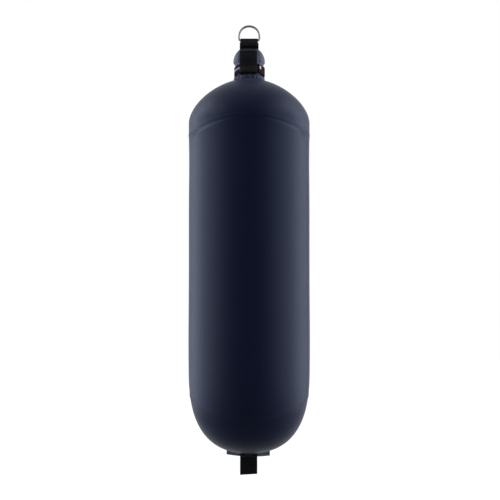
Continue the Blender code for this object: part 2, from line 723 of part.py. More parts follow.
def main():
    for old in list(bpy.data.objects):
        bpy.data.objects.remove(old)
    steel = material("stainless_steel", (0.46, 0.45, 0.44), 0.28, 1.0)
    navy = material("navy_cloth", (0.012, 0.017, 0.045), 0.72)
    webbing = material("black_webbing", (0.012, 0.012, 0.013), 0.8)
    film = material("grey_film", (0.30, 0.31, 0.33), 0.45)
    plastic = material("black_plastic", (0.02, 0.02, 0.022), 0.5)
    rubber = material("black_rubber", (0.015, 0.015, 0.015), 0.7)
    build_ring(steel)
    build_top_strap(webbing)
    build_neck_band(webbing)
    build_cover_top(navy)
    build_sleeve(navy)
    build_cover_bottom(navy)
    build_bladder(film)
    build_valve(plastic, rubber)
    build_bottom_tab(navy)
    build_bottom_loop(webbing)


main()
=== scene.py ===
from math import acos, asin, atan, cos, exp, hypot, pi, radians, sin, sqrt, tan, tau

import bpy
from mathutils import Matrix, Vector
from mathutils.geometry import interpolate_bezier


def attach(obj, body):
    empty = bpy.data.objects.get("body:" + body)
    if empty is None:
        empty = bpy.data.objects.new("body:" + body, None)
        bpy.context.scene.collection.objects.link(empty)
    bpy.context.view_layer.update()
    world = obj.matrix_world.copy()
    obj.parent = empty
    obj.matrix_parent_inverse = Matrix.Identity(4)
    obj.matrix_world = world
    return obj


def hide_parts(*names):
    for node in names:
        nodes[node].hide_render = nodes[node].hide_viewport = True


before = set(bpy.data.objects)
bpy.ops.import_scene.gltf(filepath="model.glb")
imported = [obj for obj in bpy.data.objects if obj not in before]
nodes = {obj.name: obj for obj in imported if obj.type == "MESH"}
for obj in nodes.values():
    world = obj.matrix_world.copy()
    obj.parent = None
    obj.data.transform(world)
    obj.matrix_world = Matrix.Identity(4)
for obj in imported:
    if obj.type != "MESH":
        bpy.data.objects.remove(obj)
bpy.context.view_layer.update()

# Bladder and valve
# The sealed air bag of grey film, with a moulded screw valve welded to its top.
# They are shut inside the cover, so the solids are kept with plain finishes.
FILM_COLOUR = (0.30, 0.31, 0.33, 1.0)
VALVE_COLOUR = (0.02, 0.02, 0.022, 1.0)
SEAL_COLOUR = (0.015, 0.015, 0.015, 1.0)
SURFACE = [("Colour", "Color"), ("Roughness", "Float"), ("Normal", "Vector")]


def add_node(tree, kind, inputs=None, **settings):
    """Adds a shader node, sets its properties, and fills its inputs with values or links."""
    node = tree.nodes.new("ShaderNode" + kind)
    for name, value in settings.items():
        setattr(node, name, value)
    for name, value in (inputs or {}).items():
        if isinstance(value, bpy.types.NodeSocket):
            tree.links.new(value, node.inputs[name])
        else:
            node.inputs[name].default_value = value
    return node


def calc(tree, operation, *values):
    """One Math node over links or plain numbers."""
    return add_node(tree, "Math", dict(enumerate(values)), operation=operation).outputs[0]


def group_tree(name, inputs, outputs):
    """An empty shader group with named sockets, given as (name, kind, default) and (name, kind)."""
    tree = bpy.data.node_groups.new(name, "ShaderNodeTree")
    for label, kind, default in inputs:
        socket = tree.interface.new_socket(label, in_out="INPUT", socket_type="NodeSocket" + kind)
        socket.default_value = default
    for label, kind in outputs:
        tree.interface.new_socket(label, in_out="OUTPUT", socket_type="NodeSocket" + kind)
    return tree, tree.nodes.new("NodeGroupInput").outputs, tree.nodes.new("NodeGroupOutput").inputs


def give_out(tree, made, **sockets):
    """Links sockets to a group's outputs of the same names."""
    for label, socket in sockets.items():
        tree.links.new(socket, made[label])


def object_noise(tree, scale, detail):
    """Cloudy noise over the object's own coordinates."""
    place = add_node(tree, "TexCoord").outputs["Object"]
    inputs = {"Vector": place, "Scale": scale, "Detail": detail}
    return add_node(tree, "TexNoise", inputs).outputs["Fac"]


def scaled(tree, colour, factor):
    """A colour made lighter or darker by a factor."""
    inputs = {0: colour, "Scale": factor}
    return add_node(tree, "VectorMath", inputs, operation="SCALE").outputs[0]


def bumped(tree, height, distance, strength):
    inputs = {"Height": height, "Distance": distance, "Strength": strength}
    return add_node(tree, "Bump", inputs).outputs[0]


def make_moulded_grain():
    """Faint cloudy grain of a moulded or cast surface."""
    inputs = [("Colour", "Color", (0.5, 0.5, 0.5, 1.0)), ("Roughness", "Float", 0.5)]
    inputs += [("Grain Size", "Float", 0.002)]
    tree, given, made = group_tree("moulded_grain", inputs, SURFACE)
    cloud = object_noise(tree, calc(tree, "DIVIDE", 1.0, given["Grain Size"]), 3.0)
    shade = calc(tree, "MULTIPLY_ADD", cloud, 0.3, 0.85)
    tint = scaled(tree, given["Colour"], shade)
    rough = calc(tree, "MULTIPLY", given["Roughness"], shade)
    give_out(tree, made, Colour=tint, Roughness=rough, Normal=bumped(tree, cloud, 0.00005, 0.5))
    return tree


moulded_grain = make_moulded_grain()


def finish_from(name, group, values, **constants):
    """A material whose colour, roughness and normal come from a group, with the shader's own constants."""
    made = bpy.data.materials.new(name)
    made.use_nodes = True
    tree = made.node_tree
    shader = tree.nodes["Principled BSDF"]
    source = add_node(tree, "Group", node_tree=group)
    for label, value in values.items():
        source.inputs[label].default_value = value
    for label, socket in (("Colour", "Base Color"), ("Roughness", "Roughness"), ("Normal", "Normal")):
        tree.links.new(source.outputs[label], shader.inputs[socket])
    for label, value in constants.items():
        shader.inputs[label.replace("_", " ")].default_value = value
    return made


def moulded_finish(name, colour, roughness, grain, **constants):
    """A moulded or twisted surface of one colour, with a grain of a given size."""
    values = {"Colour": colour, "Roughness": roughness, "Grain Size": grain}
    return finish_from(name, moulded_grain, values, **constants)


for name, colour, roughness, grain, solids in (
    ("bladder_film", FILM_COLOUR, 0.5, 0.01, ["bladder"]),
    ("valve_plastic", VALVE_COLOUR, 0.5, 0.001, ["valve_base", "valve_insert", "valve_cap"]),
    ("seal_rubber", SEAL_COLOUR, 0.8, 0.001, ["valve_seal", "valve_membrane"]),
):
    finish = moulded_finish(name, colour, roughness, grain)
    for solid in solids:
        nodes[solid].material_slots[0].material = finish

# Bottom panel of the cover
# A bowl of heavy navy cloth, sewn under the hem of the sleeve along a seam that bows down in front.
# It is cut as one disc, so its threads run straight across the bottom.
BODY_RADIUS = 0.140
TOP_DOME_Z = -0.2237
TOP_DOME_HEIGHT = 0.104
TOP_DOME_POWER = 1.7
BOTTOM_Z = -0.984
BOTTOM_DOME_Z = -0.794
BOTTOM_DOME_HEIGHT = 0.190
BOTTOM_DOME_POWER = 2.6
BOTTOM_POLE_TURN = radians(89)
BOTTOM_SEAM_RISE = 0.1002
SEAM_WAVE = 0.031
CLOTH = 0.0010
CLEAR = 0.0003
COVER_COLUMNS = 192
NAVY = (0.0008, 0.0020, 0.0082, 1.0)
NAVY_WORN = (0.0018, 0.0036, 0.0120, 1.0)
# Paler navy painted on the tuft and neck: painted light from above.
NAVY_PAINTED_LIGHT = (0.030, 0.028, 0.034, 1.0)
CLOTH_THREAD = 0.0007
scene = bpy.context.scene


def dome_radius(z, inset=0.0):
    """Radius of the filled cover at height z, on a surface set in by inset."""
    if z > TOP_DOME_Z:
        share = (z - TOP_DOME_Z) / (TOP_DOME_HEIGHT - inset)
        power = TOP_DOME_POWER
    elif z < BOTTOM_DOME_Z:
        share = (BOTTOM_DOME_Z - z) / (BOTTOM_DOME_HEIGHT - inset)
        power = BOTTOM_DOME_POWER
    else:
        return BODY_RADIUS - inset
    return (BODY_RADIUS - inset) * max(1 - share**power, 0.0) ** (1 / power)


def around(radius, angle, z):
    """A point off the axis, at an angle from the front (-Y) towards the right (+X)."""
    return Vector((radius * sin(angle), -radius * cos(angle), z))


def bottom_seam(angle):
    return BOTTOM_Z + BOTTOM_SEAM_RISE + SEAM_WAVE * sin(angle) ** 2


def even_angles(count):
    return [tau * i / count for i in range(count)]


def steps(count):
    """Even shares from 0 to 1."""
    return [i / count for i in range(count + 1)]


def between(first, last, share):
    return first + (last - first) * share


def put(name, data):
    """A new object in the scene."""
    made = bpy.data.objects.new(name, data)
    scene.collection.objects.link(made)
    return made


def skin(name, rings, flat, wrap=False):
    """Skins rows of equal, closed rings with quads. flat holds each row's places on the uncut cloth,
    in metres, with one more place than the ring has points."""
    width = len(rings[0])
    points = [point for ring in rings for point in ring]
    faces = []
    places = []
    row_count = len(rings)
    for i in range(row_count if wrap else row_count - 1):
        low = i * width
        high = (i + 1) % row_count * width
        above = flat[(i + 1) % row_count]
        for j in range(width):
            k = (j + 1) % width
            faces.append((low + j, low + k, high + k, high + j))
            places += [flat[i][j], flat[i][j + 1], above[j + 1], above[j]]
    if not wrap:
        for start, row, step in ((0, flat[0], -1), ((row_count - 1) * width, flat[-1], 1)):
            faces.append(tuple(start + j for j in range(width))[::step])
            places += [row[j] for j in range(width)][::step]
    mesh = bpy.data.meshes.new(name)
    mesh.from_pydata(points, [], faces)
    layer = mesh.uv_layers.new(name="cloth")
    layer.data.foreach_set("uv", [number for place in places for number in place])
    mesh.update()
    mesh.shade_smooth()
    return put(name, mesh)


def cloth_map(tree):
    """Place on the uncut cloth, across and along, in metres."""
    flat = add_node(tree, "UVMap", uv_map="cloth")
    return add_node(tree, "SeparateXYZ", {0: flat.outputs[0]}).outputs


def object_height(tree):
    place = add_node(tree, "TexCoord").outputs["Object"]
    return add_node(tree, "SeparateXYZ", {0: place}).outputs[2]


def mixed(tree, share, first, second):
    """One colour laid over another by a share."""
    inputs = {0: share, 6: first, 7: second}
    return add_node(tree, "Mix", inputs, data_type="RGBA").outputs[2]


def make_woven_threads():
    """Plain weave on the cloth's own flat map: crossing threads, uneven dye, rubbed crowns, and painted
    shade between the threads.
    """
    inputs = [("Colour", "Color", NAVY), ("Worn Colour", "Color", NAVY_WORN)]
    inputs += [("Warp Pitch", "Float", 0.0007), ("Weft Pitch", "Float", 0.0007)]
    inputs += [("Relief", "Float", 0.0001), ("Wear", "Float", 0.2), ("Roughness", "Float", 0.7)]
    tree, given, made = group_tree("woven_threads", inputs, SURFACE + [("Crown", "Float")])
    flat = cloth_map(tree)
    across = calc(tree, "DIVIDE", flat[0], given["Warp Pitch"])
    along = calc(tree, "DIVIDE", flat[1], given["Weft Pitch"])

    def crown(count):
        """Rounded back of one thread, from 0 at its edges to 1 at its middle."""
        middle = calc(tree, "MULTIPLY_ADD", calc(tree, "FRACT", count), 2.0, -1.0)
        return calc(tree, "SUBTRACT", 1.0, calc(tree, "MULTIPLY", middle, middle))

    warp = crown(across)
    weft = crown(along)
    cell = calc(tree, "ADD", calc(tree, "FLOOR", across), calc(tree, "FLOOR", along))
    over = calc(tree, "ABSOLUTE", calc(tree, "MODULO", cell, 2.0))
    warp_top = calc(tree, "MULTIPLY", warp, calc(tree, "MULTIPLY_ADD", weft, 0.5, 0.5))
    weft_top = calc(tree, "MULTIPLY", weft, calc(tree, "MULTIPLY_ADD", warp, 0.5, 0.5))
    height = add_node(tree, "Mix", {0: over, 2: warp_top, 3: weft_top}).outputs[0]

    uneven = calc(tree, "MULTIPLY_ADD", object_noise(tree, 9.0, 4.0), 0.5, 0.1)
    fibres = calc(tree, "MULTIPLY", height, object_noise(tree, 900.0, 2.0))
    rubbed = calc(tree, "MULTIPLY", fibres, 1.2)
    worn = calc(tree, "MULTIPLY", calc(tree, "ADD", uneven, rubbed), given["Wear"])
    dyed = mixed(tree, worn, given["Colour"], given["Worn Colour"])
    # Painted shade: the colour is darkened between the threads and lightened on their crowns.
    shade = scaled(tree, dyed, calc(tree, "MULTIPLY_ADD", height, 0.35, 0.72))
    rough = calc(tree, "MULTIPLY_ADD", height, -0.10, given["Roughness"])
    normal = bumped(tree, height, given["Relief"], 1.0)
    give_out(tree, made, Colour=shade, Roughness=rough, Normal=normal, Crown=height)
    return tree


woven_threads = make_woven_threads()


def woven_finish(name, colour, worn, pitches, relief, wear, roughness, **constants):
    """Woven cloth or webbing, with the pitches of its threads across and along."""
    values = {"Colour": colour, "Worn Colour": worn, "Relief": relief, "Wear": wear}
    values |= {"Warp Pitch": pitches[0], "Weft Pitch": pitches[1], "Roughness": roughness}
    return finish_from(name, woven_threads, values, **constants)


navy_cloth = woven_finish(
    "navy_cloth",
    NAVY,
    NAVY_WORN,
    (CLOTH_THREAD, CLOTH_THREAD),
    relief=0.00006,
    wear=0.35,
    roughness=0.46,
    Specular_IOR_Level=0.04,
    Sheen_Weight=0.02,
    Sheen_Roughness=0.5,
    Sheen_Tint=(0.75, 0.82, 1.0, 1.0),
)


def opened(material):
    """The node tree of a woven material, and the outputs of the group in it that makes the weave."""
    tree = material.node_tree
    return tree, next(node for node in tree.nodes if node.type == "GROUP").outputs


def recolour(tree, colour):
    tree.links.new(colour, tree.nodes["Principled BSDF"].inputs["Base Color"])


def painted_light_cloth(name, colour, full_z, none_z):
    """Navy cloth with painted light: paler towards one height, fully at full_z and not at all at none_z,
    in uneven patches.
    """
    made = navy_cloth.copy()
    made.name = name
    tree, weave = opened(made)
    reach = full_z - none_z
    rise = calc(tree, "MULTIPLY_ADD", object_height(tree), 1 / reach, -none_z / reach)
    patchy = calc(tree, "MULTIPLY_ADD", object_noise(tree, 55.0, 3.0), 0.5, -0.25)
    share = add_node(tree, "Clamp", {0: calc(tree, "ADD", rise, patchy)}).outputs[0]
    # The painted light is darker between the threads too: painted shade.
    pale = scaled(tree, colour[:3], calc(tree, "MULTIPLY_ADD", weave["Crown"], 0.4, 0.75))
    recolour(tree, mixed(tree, share, weave["Colour"], pale))
    return made


def dress(piece, body, finish, slot, *stood_for):
    """Finishes a piece, hangs it on its body, and lets it stand for its solids."""
    piece.data.materials.append(finish)
    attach(piece, body)
    if stood_for:
        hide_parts(*stood_for)


def bowl_rings(inset, row_count):
    """Rings from the seam of the bottom panel down to its pole."""
    rings = []
    for share in steps(row_count - 1):
        ring = []
        for a in even_angles(COVER_COLUMNS):
            rim = (BOTTOM_DOME_Z - bottom_seam(a) + CLEAR) / BOTTOM_DOME_HEIGHT
            start = asin(min(rim, 1.0) ** (BOTTOM_DOME_POWER / 2))
            turn = between(start, BOTTOM_POLE_TURN, share)
            z = BOTTOM_DOME_Z - (BOTTOM_DOME_HEIGHT - inset) * sin(turn) ** (2 / BOTTOM_DOME_POWER)
            radius = (BODY_RADIUS - inset) * cos(turn) ** (2 / BOTTOM_DOME_POWER)
            ring.append(around(radius, a, z))
        rings.append(ring)
    return rings


bowl = list(reversed(bowl_rings(0.0, 40))) + bowl_rings(CLOTH, 20)
bowl_flat = [[(p.x, p.y) for p in ring] + [(ring[0].x, ring[0].y)] for ring in bowl]
cover_bottom = skin("cover_bottom_panel", bowl, bowl_flat)
dress(cover_bottom, "fender", navy_cloth, "navy_cloth", "cover_bottom")

# Sleeve of the cover
# The long middle panel, one width of navy cloth joined into a tube by a lapped seam on the right.
# Its two hems are turned in and sewn over the end panels with twin rows of stitching.
POLE_Z = -0.1197
TOP_SEAM_DROP = 0.104
SIDE_SEAM_ANGLE = radians(71)
SEAM_WIDTH = 0.008
HEM_HALF = SEAM_WIDTH / 2
SEAM_MARGIN = 0.002
SEAM_LAP = 0.0003
HEM_LIP = CLEAR + SEAM_LAP
STITCH_INSET = 0.0016
STITCH_DIP = 0.0001
SLEEVE_WAIST = 0.0008
SLEEVE_BELLY = 0.0009
WAIST_Z = -0.320
WAIST_REACH = 0.055
BELLY_Z = -0.730
BELLY_REACH = 0.10
HEM_EDGE = 0.0008
HEM_SHOULDER_START = 0.0040
HEM_SHOULDER_RUN = 0.0062
LAP_EDGE = 0.0009
STITCH_GROOVE = 0.0006
HEM_STEPS = (0.0, 0.0002, 0.0006, 0.0011, 0.0016, 0.0021, 0.0030, 0.0040, 0.0050)
HEM_STEPS += (0.0059, 0.0064, 0.0069, 0.0074, 0.0080, 0.0086, 0.0094, 0.0105)


def top_seam(angle):
    return POLE_Z - TOP_SEAM_DROP - SEAM_WAVE * sin(angle) ** 2


def smooth_rise(value):
    """Smooth rise from 0 to 1."""
    value = min(max(value, 0.0), 1.0)
    return value * value * (3 - 2 * value)


def hump(value, middle, reach):
    return exp(-(((value - middle) / reach) ** 2))


def sleeve_swell(z):
    """The filled sleeve draws in a little below its top seam and bellies out above its bottom one."""
    waist = SLEEVE_WAIST * hump(z, WAIST_Z, WAIST_REACH)
    belly = SLEEVE_BELLY * hump(z, BELLY_Z, BELLY_REACH)
    return belly - waist


def hem_rise(distance, angle):
    """Height of the hem over the end panel at a distance from the hem's edge."""
    edge = sqrt(min(max(distance, 0.0) / HEM_EDGE, 1.0))
    shoulder = 1 - smooth_rise((distance - HEM_SHOULDER_START) / HEM_SHOULDER_RUN)
    rows = hump(distance, STITCH_INSET, STITCH_GROOVE)
    rows += hump(distance, SEAM_WIDTH - STITCH_INSET, STITCH_GROOVE)
    pucker = 0.5 + 0.25 * sin(97 * angle + 1.3) + 0.25 * sin(61 * angle)
    return HEM_LIP * edge * shoulder - STITCH_DIP * rows * (0.6 + 0.8 * pucker)


def side_seam_rise(angle):
    """Lapped edge of the lengthwise seam, with a dip along each row of stitching."""
    distance = (angle - SIDE_SEAM_ANGLE) * BODY_RADIUS
    lap = smooth_rise((HEM_HALF + LAP_EDGE - abs(distance)) / LAP_EDGE)
    rows = hump(abs(distance), HEM_HALF - STITCH_INSET, STITCH_GROOVE)
    return SEAM_LAP * lap - STITCH_DIP * rows


def sleeve_angles():
    """Even angles, closer together across the lengthwise seam."""
    edge = (HEM_HALF + SEAM_MARGIN) / BODY_RADIUS
    fine = [SIDE_SEAM_ANGLE + edge * (2 * share - 1) for share in steps(20)]
    keep = [a for a in even_angles(COVER_COLUMNS) if not fine[0] - 0.01 < a < fine[-1] + 0.01]
    return sorted(keep + fine)


sleeve_columns = sleeve_angles()


def sleeve_point(kind, step, angle):
    """Point on the outside of the sleeve, by its distance from a hem or its share of the middle."""
    top_edge = top_seam(angle) + HEM_HALF
    bottom_edge = bottom_seam(angle) - HEM_HALF
    top_end = top_edge - HEM_STEPS[-1]
    bottom_end = bottom_edge + HEM_STEPS[-1]
    if kind == "top":
        z = top_edge - step
        rise = hem_rise(step, angle)
    elif kind == "bottom":
        z = bottom_edge + step
        rise = hem_rise(step, angle)
    else:
        z = between(top_end, bottom_end, step)
        rise = 0.0
    rise = max(rise, side_seam_rise(angle)) if kind == "middle" or step > HEM_HALF else rise
    return around(dome_radius(z) + sleeve_swell(z) + rise, angle, z)


sleeve_rows = [("top", step) for step in HEM_STEPS]
sleeve_rows += [("middle", share) for share in steps(40)[1:-1]]
sleeve_rows += [("bottom", step) for step in reversed(HEM_STEPS)]
sleeve = [[sleeve_point(kind, step, a) for a in sleeve_columns] for kind, step in sleeve_rows]
for share in steps(14):
    ring = []
    for a in sleeve_columns:
        z = between(bottom_seam(a) - HEM_HALF, top_seam(a) + HEM_HALF, share)
        under = CLEAR if share in (0, 1) else -CLOTH
        ring.append(around(dome_radius(z) + under, a, z))
    sleeve.append(ring)
sleeve_flat = []
for ring in sleeve:
    sleeve_flat.append([(a * BODY_RADIUS, p.z) for a, p in zip(sleeve_columns, ring)])
    sleeve_flat[-1].append((tau * BODY_RADIUS, ring[0].z))
cover_sleeve = skin("cover_sleeve_panel", sleeve, sleeve_flat, wrap=True)
dress(cover_sleeve, "fender", navy_cloth, "navy_cloth", "cover_sleeve")

# Top panel of the cover
# Navy cloth over the upper end: a dome, a neck gathered under the band, and a rounded tuft above it.
# The gathers are deep under the band and run out over the dome and the tuft.
TUFT_WIDE_Z = -0.0816
TUFT_HEIGHT = 0.0375
TUFT_HALF_WIDTH = 0.037
TUFT_HALF_DEPTH = 0.033
TUFT_TAPER = 1.6
TUFT_TOP_SHARE = 0.995
TUFT_GATHERS = 0.25
BAND_Z = -0.1050
BAND_WIDTH = 0.020
BAND_RISE = 0.0062
STRAP_EDGE_RISE = 0.6
FOLD_Z = -0.11395
STRAP_THICKNESS = 0.0014
WAIST_HALF_WIDTH = 0.0324
WAIST_HALF_DEPTH = 0.0303
NECK_RADIUS = 0.036
NECK_ROLL = 0.0035
NECK_FILLET = 0.006
GATHER_COUNT = 26
GATHER_DEPTH = 0.0017
GATHER_RUN = 0.050
GATHER_ONSET = 0.012
SMALL_RING = 0.012
TUFT_FOLDS = 9
TUFT_FOLD_DEPTH = 0.0011
TOP_DOME_END = radians(9)
# Heights where the painted light on the tuft is full and where it ends.
PAINTED_LIGHT_FULL_Z = -0.108
PAINTED_LIGHT_NONE_Z = -0.129


def tuft_share(z):
    return min(max((z - TUFT_WIDE_Z) / TUFT_HEIGHT, 0.0), 1.0)


def neck_size(z, wide, waist, waist_low, waist_high):
    """Half size of the neck across one way: drawn in at the band, rolled out below it."""
    if z >= waist_high:
        return between(waist, wide, smooth_rise((z - waist_high) / (TUFT_WIDE_Z - waist_high)))
    return between(waist, NECK_RADIUS, smooth_rise((waist_low - z) / NECK_ROLL))


def half_width(z):
    low = BAND_Z - BAND_WIDTH / 2 - CLEAR
    high = BAND_Z + BAND_WIDTH / 2 + STRAP_EDGE_RISE * BAND_RISE + CLEAR
    round_top = sqrt(1 - tuft_share(z) ** 2)
    return round_top * neck_size(z, TUFT_HALF_WIDTH, WAIST_HALF_WIDTH, low, high)


def half_depth(z):
    low = FOLD_Z - STRAP_THICKNESS - CLEAR
    high = BAND_Z + BAND_RISE + BAND_WIDTH / 2 + 2 * CLEAR
    wedge = 1 - tuft_share(z) ** TUFT_TAPER
    return wedge * neck_size(z, TUFT_HALF_DEPTH, WAIST_HALF_DEPTH, low, high)


def neck_foot():
    """Slope of the dome where the fillet of the neck runs out, and the height of the fillet's start."""
    slope = 0.0
    power = TOP_DOME_POWER
    for _ in range(8):
        share = (NECK_RADIUS + NECK_FILLET * (1 - sin(slope))) / BODY_RADIUS
        rise = TOP_DOME_HEIGHT / BODY_RADIUS * share ** (power - 1)
        slope = atan(rise * (1 - share**power) ** (1 / power - 1))
    foot_z = TOP_DOME_Z + TOP_DOME_HEIGHT * (1 - share**power) ** (1 / power)
    return slope, foot_z + NECK_FILLET * cos(slope)


def neck_stations(tuft_steps, neck_steps, fillet_steps, dome_steps):
    """Half width, half depth, height, and strength of the gathers and the tuft's folds, downwards."""
    stations = []
    for i in range(tuft_steps):
        share = TUFT_TOP_SHARE * cos(pi / 2 * i / tuft_steps)
        z = TUFT_WIDE_Z + share * TUFT_HEIGHT
        folds = 1 - share**2
        stations.append((half_width(z), half_depth(z), z, TUFT_GATHERS * (1 - share), folds))
    slope, fillet_z = neck_foot()
    for i in range(neck_steps):
        z = between(TUFT_WIDE_Z, fillet_z, i / neck_steps)
        to_waist = smooth_rise((TUFT_WIDE_Z - z) / GATHER_ONSET)
        gathers = between(TUFT_GATHERS, 1.0, to_waist)
        stations.append((half_width(z), half_depth(z), z, gathers, 1 - to_waist))
    for i in range(fillet_steps):
        turn = (pi / 2 - slope) * i / fillet_steps
        radius = NECK_RADIUS + NECK_FILLET * (1 - cos(turn))
        stations.append((radius, radius, fillet_z - NECK_FILLET * sin(turn), 1.0, 0.0))
    exponent = 2 / TOP_DOME_POWER
    foot = (NECK_RADIUS + NECK_FILLET * (1 - sin(slope))) / BODY_RADIUS
    start = acos(foot ** (1 / exponent))
    for share in steps(dome_steps):
        turn = between(start, TOP_DOME_END, share)
        radius = BODY_RADIUS * cos(turn) ** exponent
        run = BODY_RADIUS * (start - turn)
        z = TOP_DOME_Z + TOP_DOME_HEIGHT * sin(turn) ** exponent
        stations.append((radius, radius, z, max(1 - run / GATHER_RUN, 0.0) ** 2, 0.0))
    return stations


def gather_dip(angle, gathers, folds):
    """Depth of the cloth's gathers at an angle: narrow valleys between rounded ridges, unevenly spaced."""
    uneven = angle + 0.07 * sin(3 * angle + 1.0) + 0.04 * sin(7 * angle + 2.0)
    valley = abs(cos(GATHER_COUNT / 2 * uneven)) ** 2.5
    size = 0.75 + 0.25 * sin(5 * angle + 0.6)
    broad = abs(cos(TUFT_FOLDS / 2 * angle + 0.5 * sin(2 * angle + 0.4))) ** 4
    return GATHER_DEPTH * gathers * valley * size + TUFT_FOLD_DEPTH * folds * broad


def gathered_ring(wide, deep, z, gathers, folds):
    """Oval ring of the top panel, drawn inwards at each gather."""
    ring = []
    small = min(min(wide, deep) / SMALL_RING, 1.0)
    for a in even_angles(COVER_COLUMNS):
        dip = small * gather_dip(a, gathers, folds)
        ring.append(Vector(((wide - dip) * sin(a), -(deep - dip) * cos(a), z)))
    return ring


def top_skirt(inset, row_count):
    """Rings from the panel's lower edge, under the sleeve's hem, up to the dome's first level ring."""
    level = TOP_DOME_Z + TOP_DOME_HEIGHT * sin(TOP_DOME_END) ** (2 / TOP_DOME_POWER)
    rings = []
    for i in range(row_count):
        ring = []
        for a in even_angles(COVER_COLUMNS):
            rim_z = top_seam(a) + CLEAR
            z = between(rim_z, level, i / row_count)
            ring.append(around(dome_radius(z, inset), a, z))
        rings.append(ring)
    return rings


outer_stations = neck_stations(22, 42, 8, 30)
inner_stations = neck_stations(10, 20, 4, 14)
top_outer = [gathered_ring(*station) for station in outer_stations]
top_inner = []
for i, (wide, deep, z, gathers, folds) in enumerate(inner_stations):
    above = inner_stations[max(i - 1, 0)]
    below = inner_stations[min(i + 1, len(inner_stations) - 1)]
    out = (below[0] + below[1] - above[0] - above[1]) / 2
    down = above[2] - below[2]
    length = hypot(out, down)
    wide -= CLOTH * down / length
    deep -= CLOTH * down / length
    top_inner.append(gathered_ring(wide, max(deep, 0.0002), z - CLOTH * out / length, gathers, folds))
top_shell = top_outer + list(reversed(top_skirt(0.0, 8))) + top_skirt(CLOTH, 4) + top_inner[:1:-1]
top_flat = []
top_run = 0.0
for i, ring in enumerate(top_shell):
    if i:
        top_run += (ring[0] - top_shell[i - 1][0]).length
    top_flat.append([(tau * BODY_RADIUS * share, top_run) for share in steps(COVER_COLUMNS)])
cover_top = skin("cover_top_panel", top_shell, top_flat)
# The tuft and neck are painted paler towards the top: painted light from above.
tuft_cloth_painted_light = painted_light_cloth("navy_cloth_top_painted_light", NAVY_PAINTED_LIGHT, PAINTED_LIGHT_FULL_Z, PAINTED_LIGHT_NONE_Z)
dress(cover_top, "fender", tuft_cloth_painted_light, "navy_cloth", "cover_top")

# Stitching of the cover
# Navy thread a shade paler than the cloth: twin rows along both hems and the lengthwise seam.
# Each stitch lies in the dip that it pulls into the hem, with its ends drawn through the cloth.
THREAD_RADIUS = 0.00028
STITCH_PITCH = 0.0036
STITCH_LENGTH = 0.0027
NAVY_THREAD = (0.0032, 0.0050, 0.0140, 1.0)
THREAD_SIDES = 6
STITCH_ARCH = ((0.0, -0.9, 0.6), (0.12, -0.1, 0.9), (0.5, 0.35, 1.0), (0.88, -0.1, 0.9), (1.0, -0.9, 0.6))
SIDE_SEAM_END = 0.01


def sew(name, runs, thread_radius, pitch, length):
    """Stitches along runs of (point, outward) samples. Each is a short length of thread, whose arch
    gives its places along the stitch, their lift and their thickness, sunk at both ends."""
    points = []
    faces = []
    for run in runs:
        marks = [0.0]
        for (before, _), (after, _) in zip(run, run[1:]):
            marks.append(marks[-1] + (after - before).length)
        stitch_count = max(int(marks[-1] / pitch), 1)
        spacing = marks[-1] / stitch_count
        k = 0
        for i in range(stitch_count):
            first = len(points)
            for share, lift, size in STITCH_ARCH:
                at = min((i + 0.5) * spacing + (share - 0.5) * length, marks[-1])
                at = max(at, 0.0)
                while k > 0 and marks[k] > at:
                    k -= 1
                while k < len(marks) - 2 and marks[k + 1] < at:
                    k += 1
                step = (at - marks[k]) / max(marks[k + 1] - marks[k], 1e-9)
                ahead = (run[k + 1][0] - run[k][0]).normalized()
                out = run[k][1].lerp(run[k + 1][1], step).normalized()
                side = ahead.cross(out).normalized()
                centre = run[k][0].lerp(run[k + 1][0], step) + out * lift * thread_radius
                for j in range(THREAD_SIDES):
                    turn = tau * j / THREAD_SIDES
                    reach = side * cos(turn) + out * sin(turn)
                    points.append(centre + reach * thread_radius * size)
            for row in range(len(STITCH_ARCH) - 1):
                low = first + row * THREAD_SIDES
                for j in range(THREAD_SIDES):
                    n = (j + 1) % THREAD_SIDES
                    high = low + THREAD_SIDES
                    faces.append((low + j, low + n, high + n, high + j))
            faces.append(tuple(first + j for j in range(THREAD_SIDES))[::-1])
            last = first + (len(STITCH_ARCH) - 1) * THREAD_SIDES
            faces.append(tuple(last + j for j in range(THREAD_SIDES)))
    mesh = bpy.data.meshes.new(name)
    mesh.from_pydata(points, [], faces)
    mesh.update()
    mesh.shade_smooth()
    return put(name, mesh)


def on_surface(place, *at):
    """A (point, outward) sample of a round surface, with the outward taken square to the axis."""
    point = place(*at)
    return point, Vector((point.x, point.y, 0.0)).normalized()


navy_thread = moulded_finish("navy_thread", NAVY_THREAD, 0.55, 0.0006, Specular_IOR_Level=0.05)
hem_runs = []
for kind in ("top", "bottom"):
    for distance in (STITCH_INSET, SEAM_WIDTH - STITCH_INSET):
        turns = steps(480)
        hem_runs.append([on_surface(sleeve_point, kind, distance, tau * turn) for turn in turns])
for side in (-1, 1):
    angle = SIDE_SEAM_ANGLE + side * (HEM_HALF - STITCH_INSET) / BODY_RADIUS
    shares = [between(SIDE_SEAM_END, 1 - SIDE_SEAM_END, share) for share in steps(120)]
    hem_runs.append([on_surface(sleeve_point, "middle", share, angle) for share in shares])
cover_stitches = sew("cover_stitches", hem_runs, THREAD_RADIUS, STITCH_PITCH, STITCH_LENGTH)
dress(cover_stitches, "fender", navy_thread, "navy_cloth")

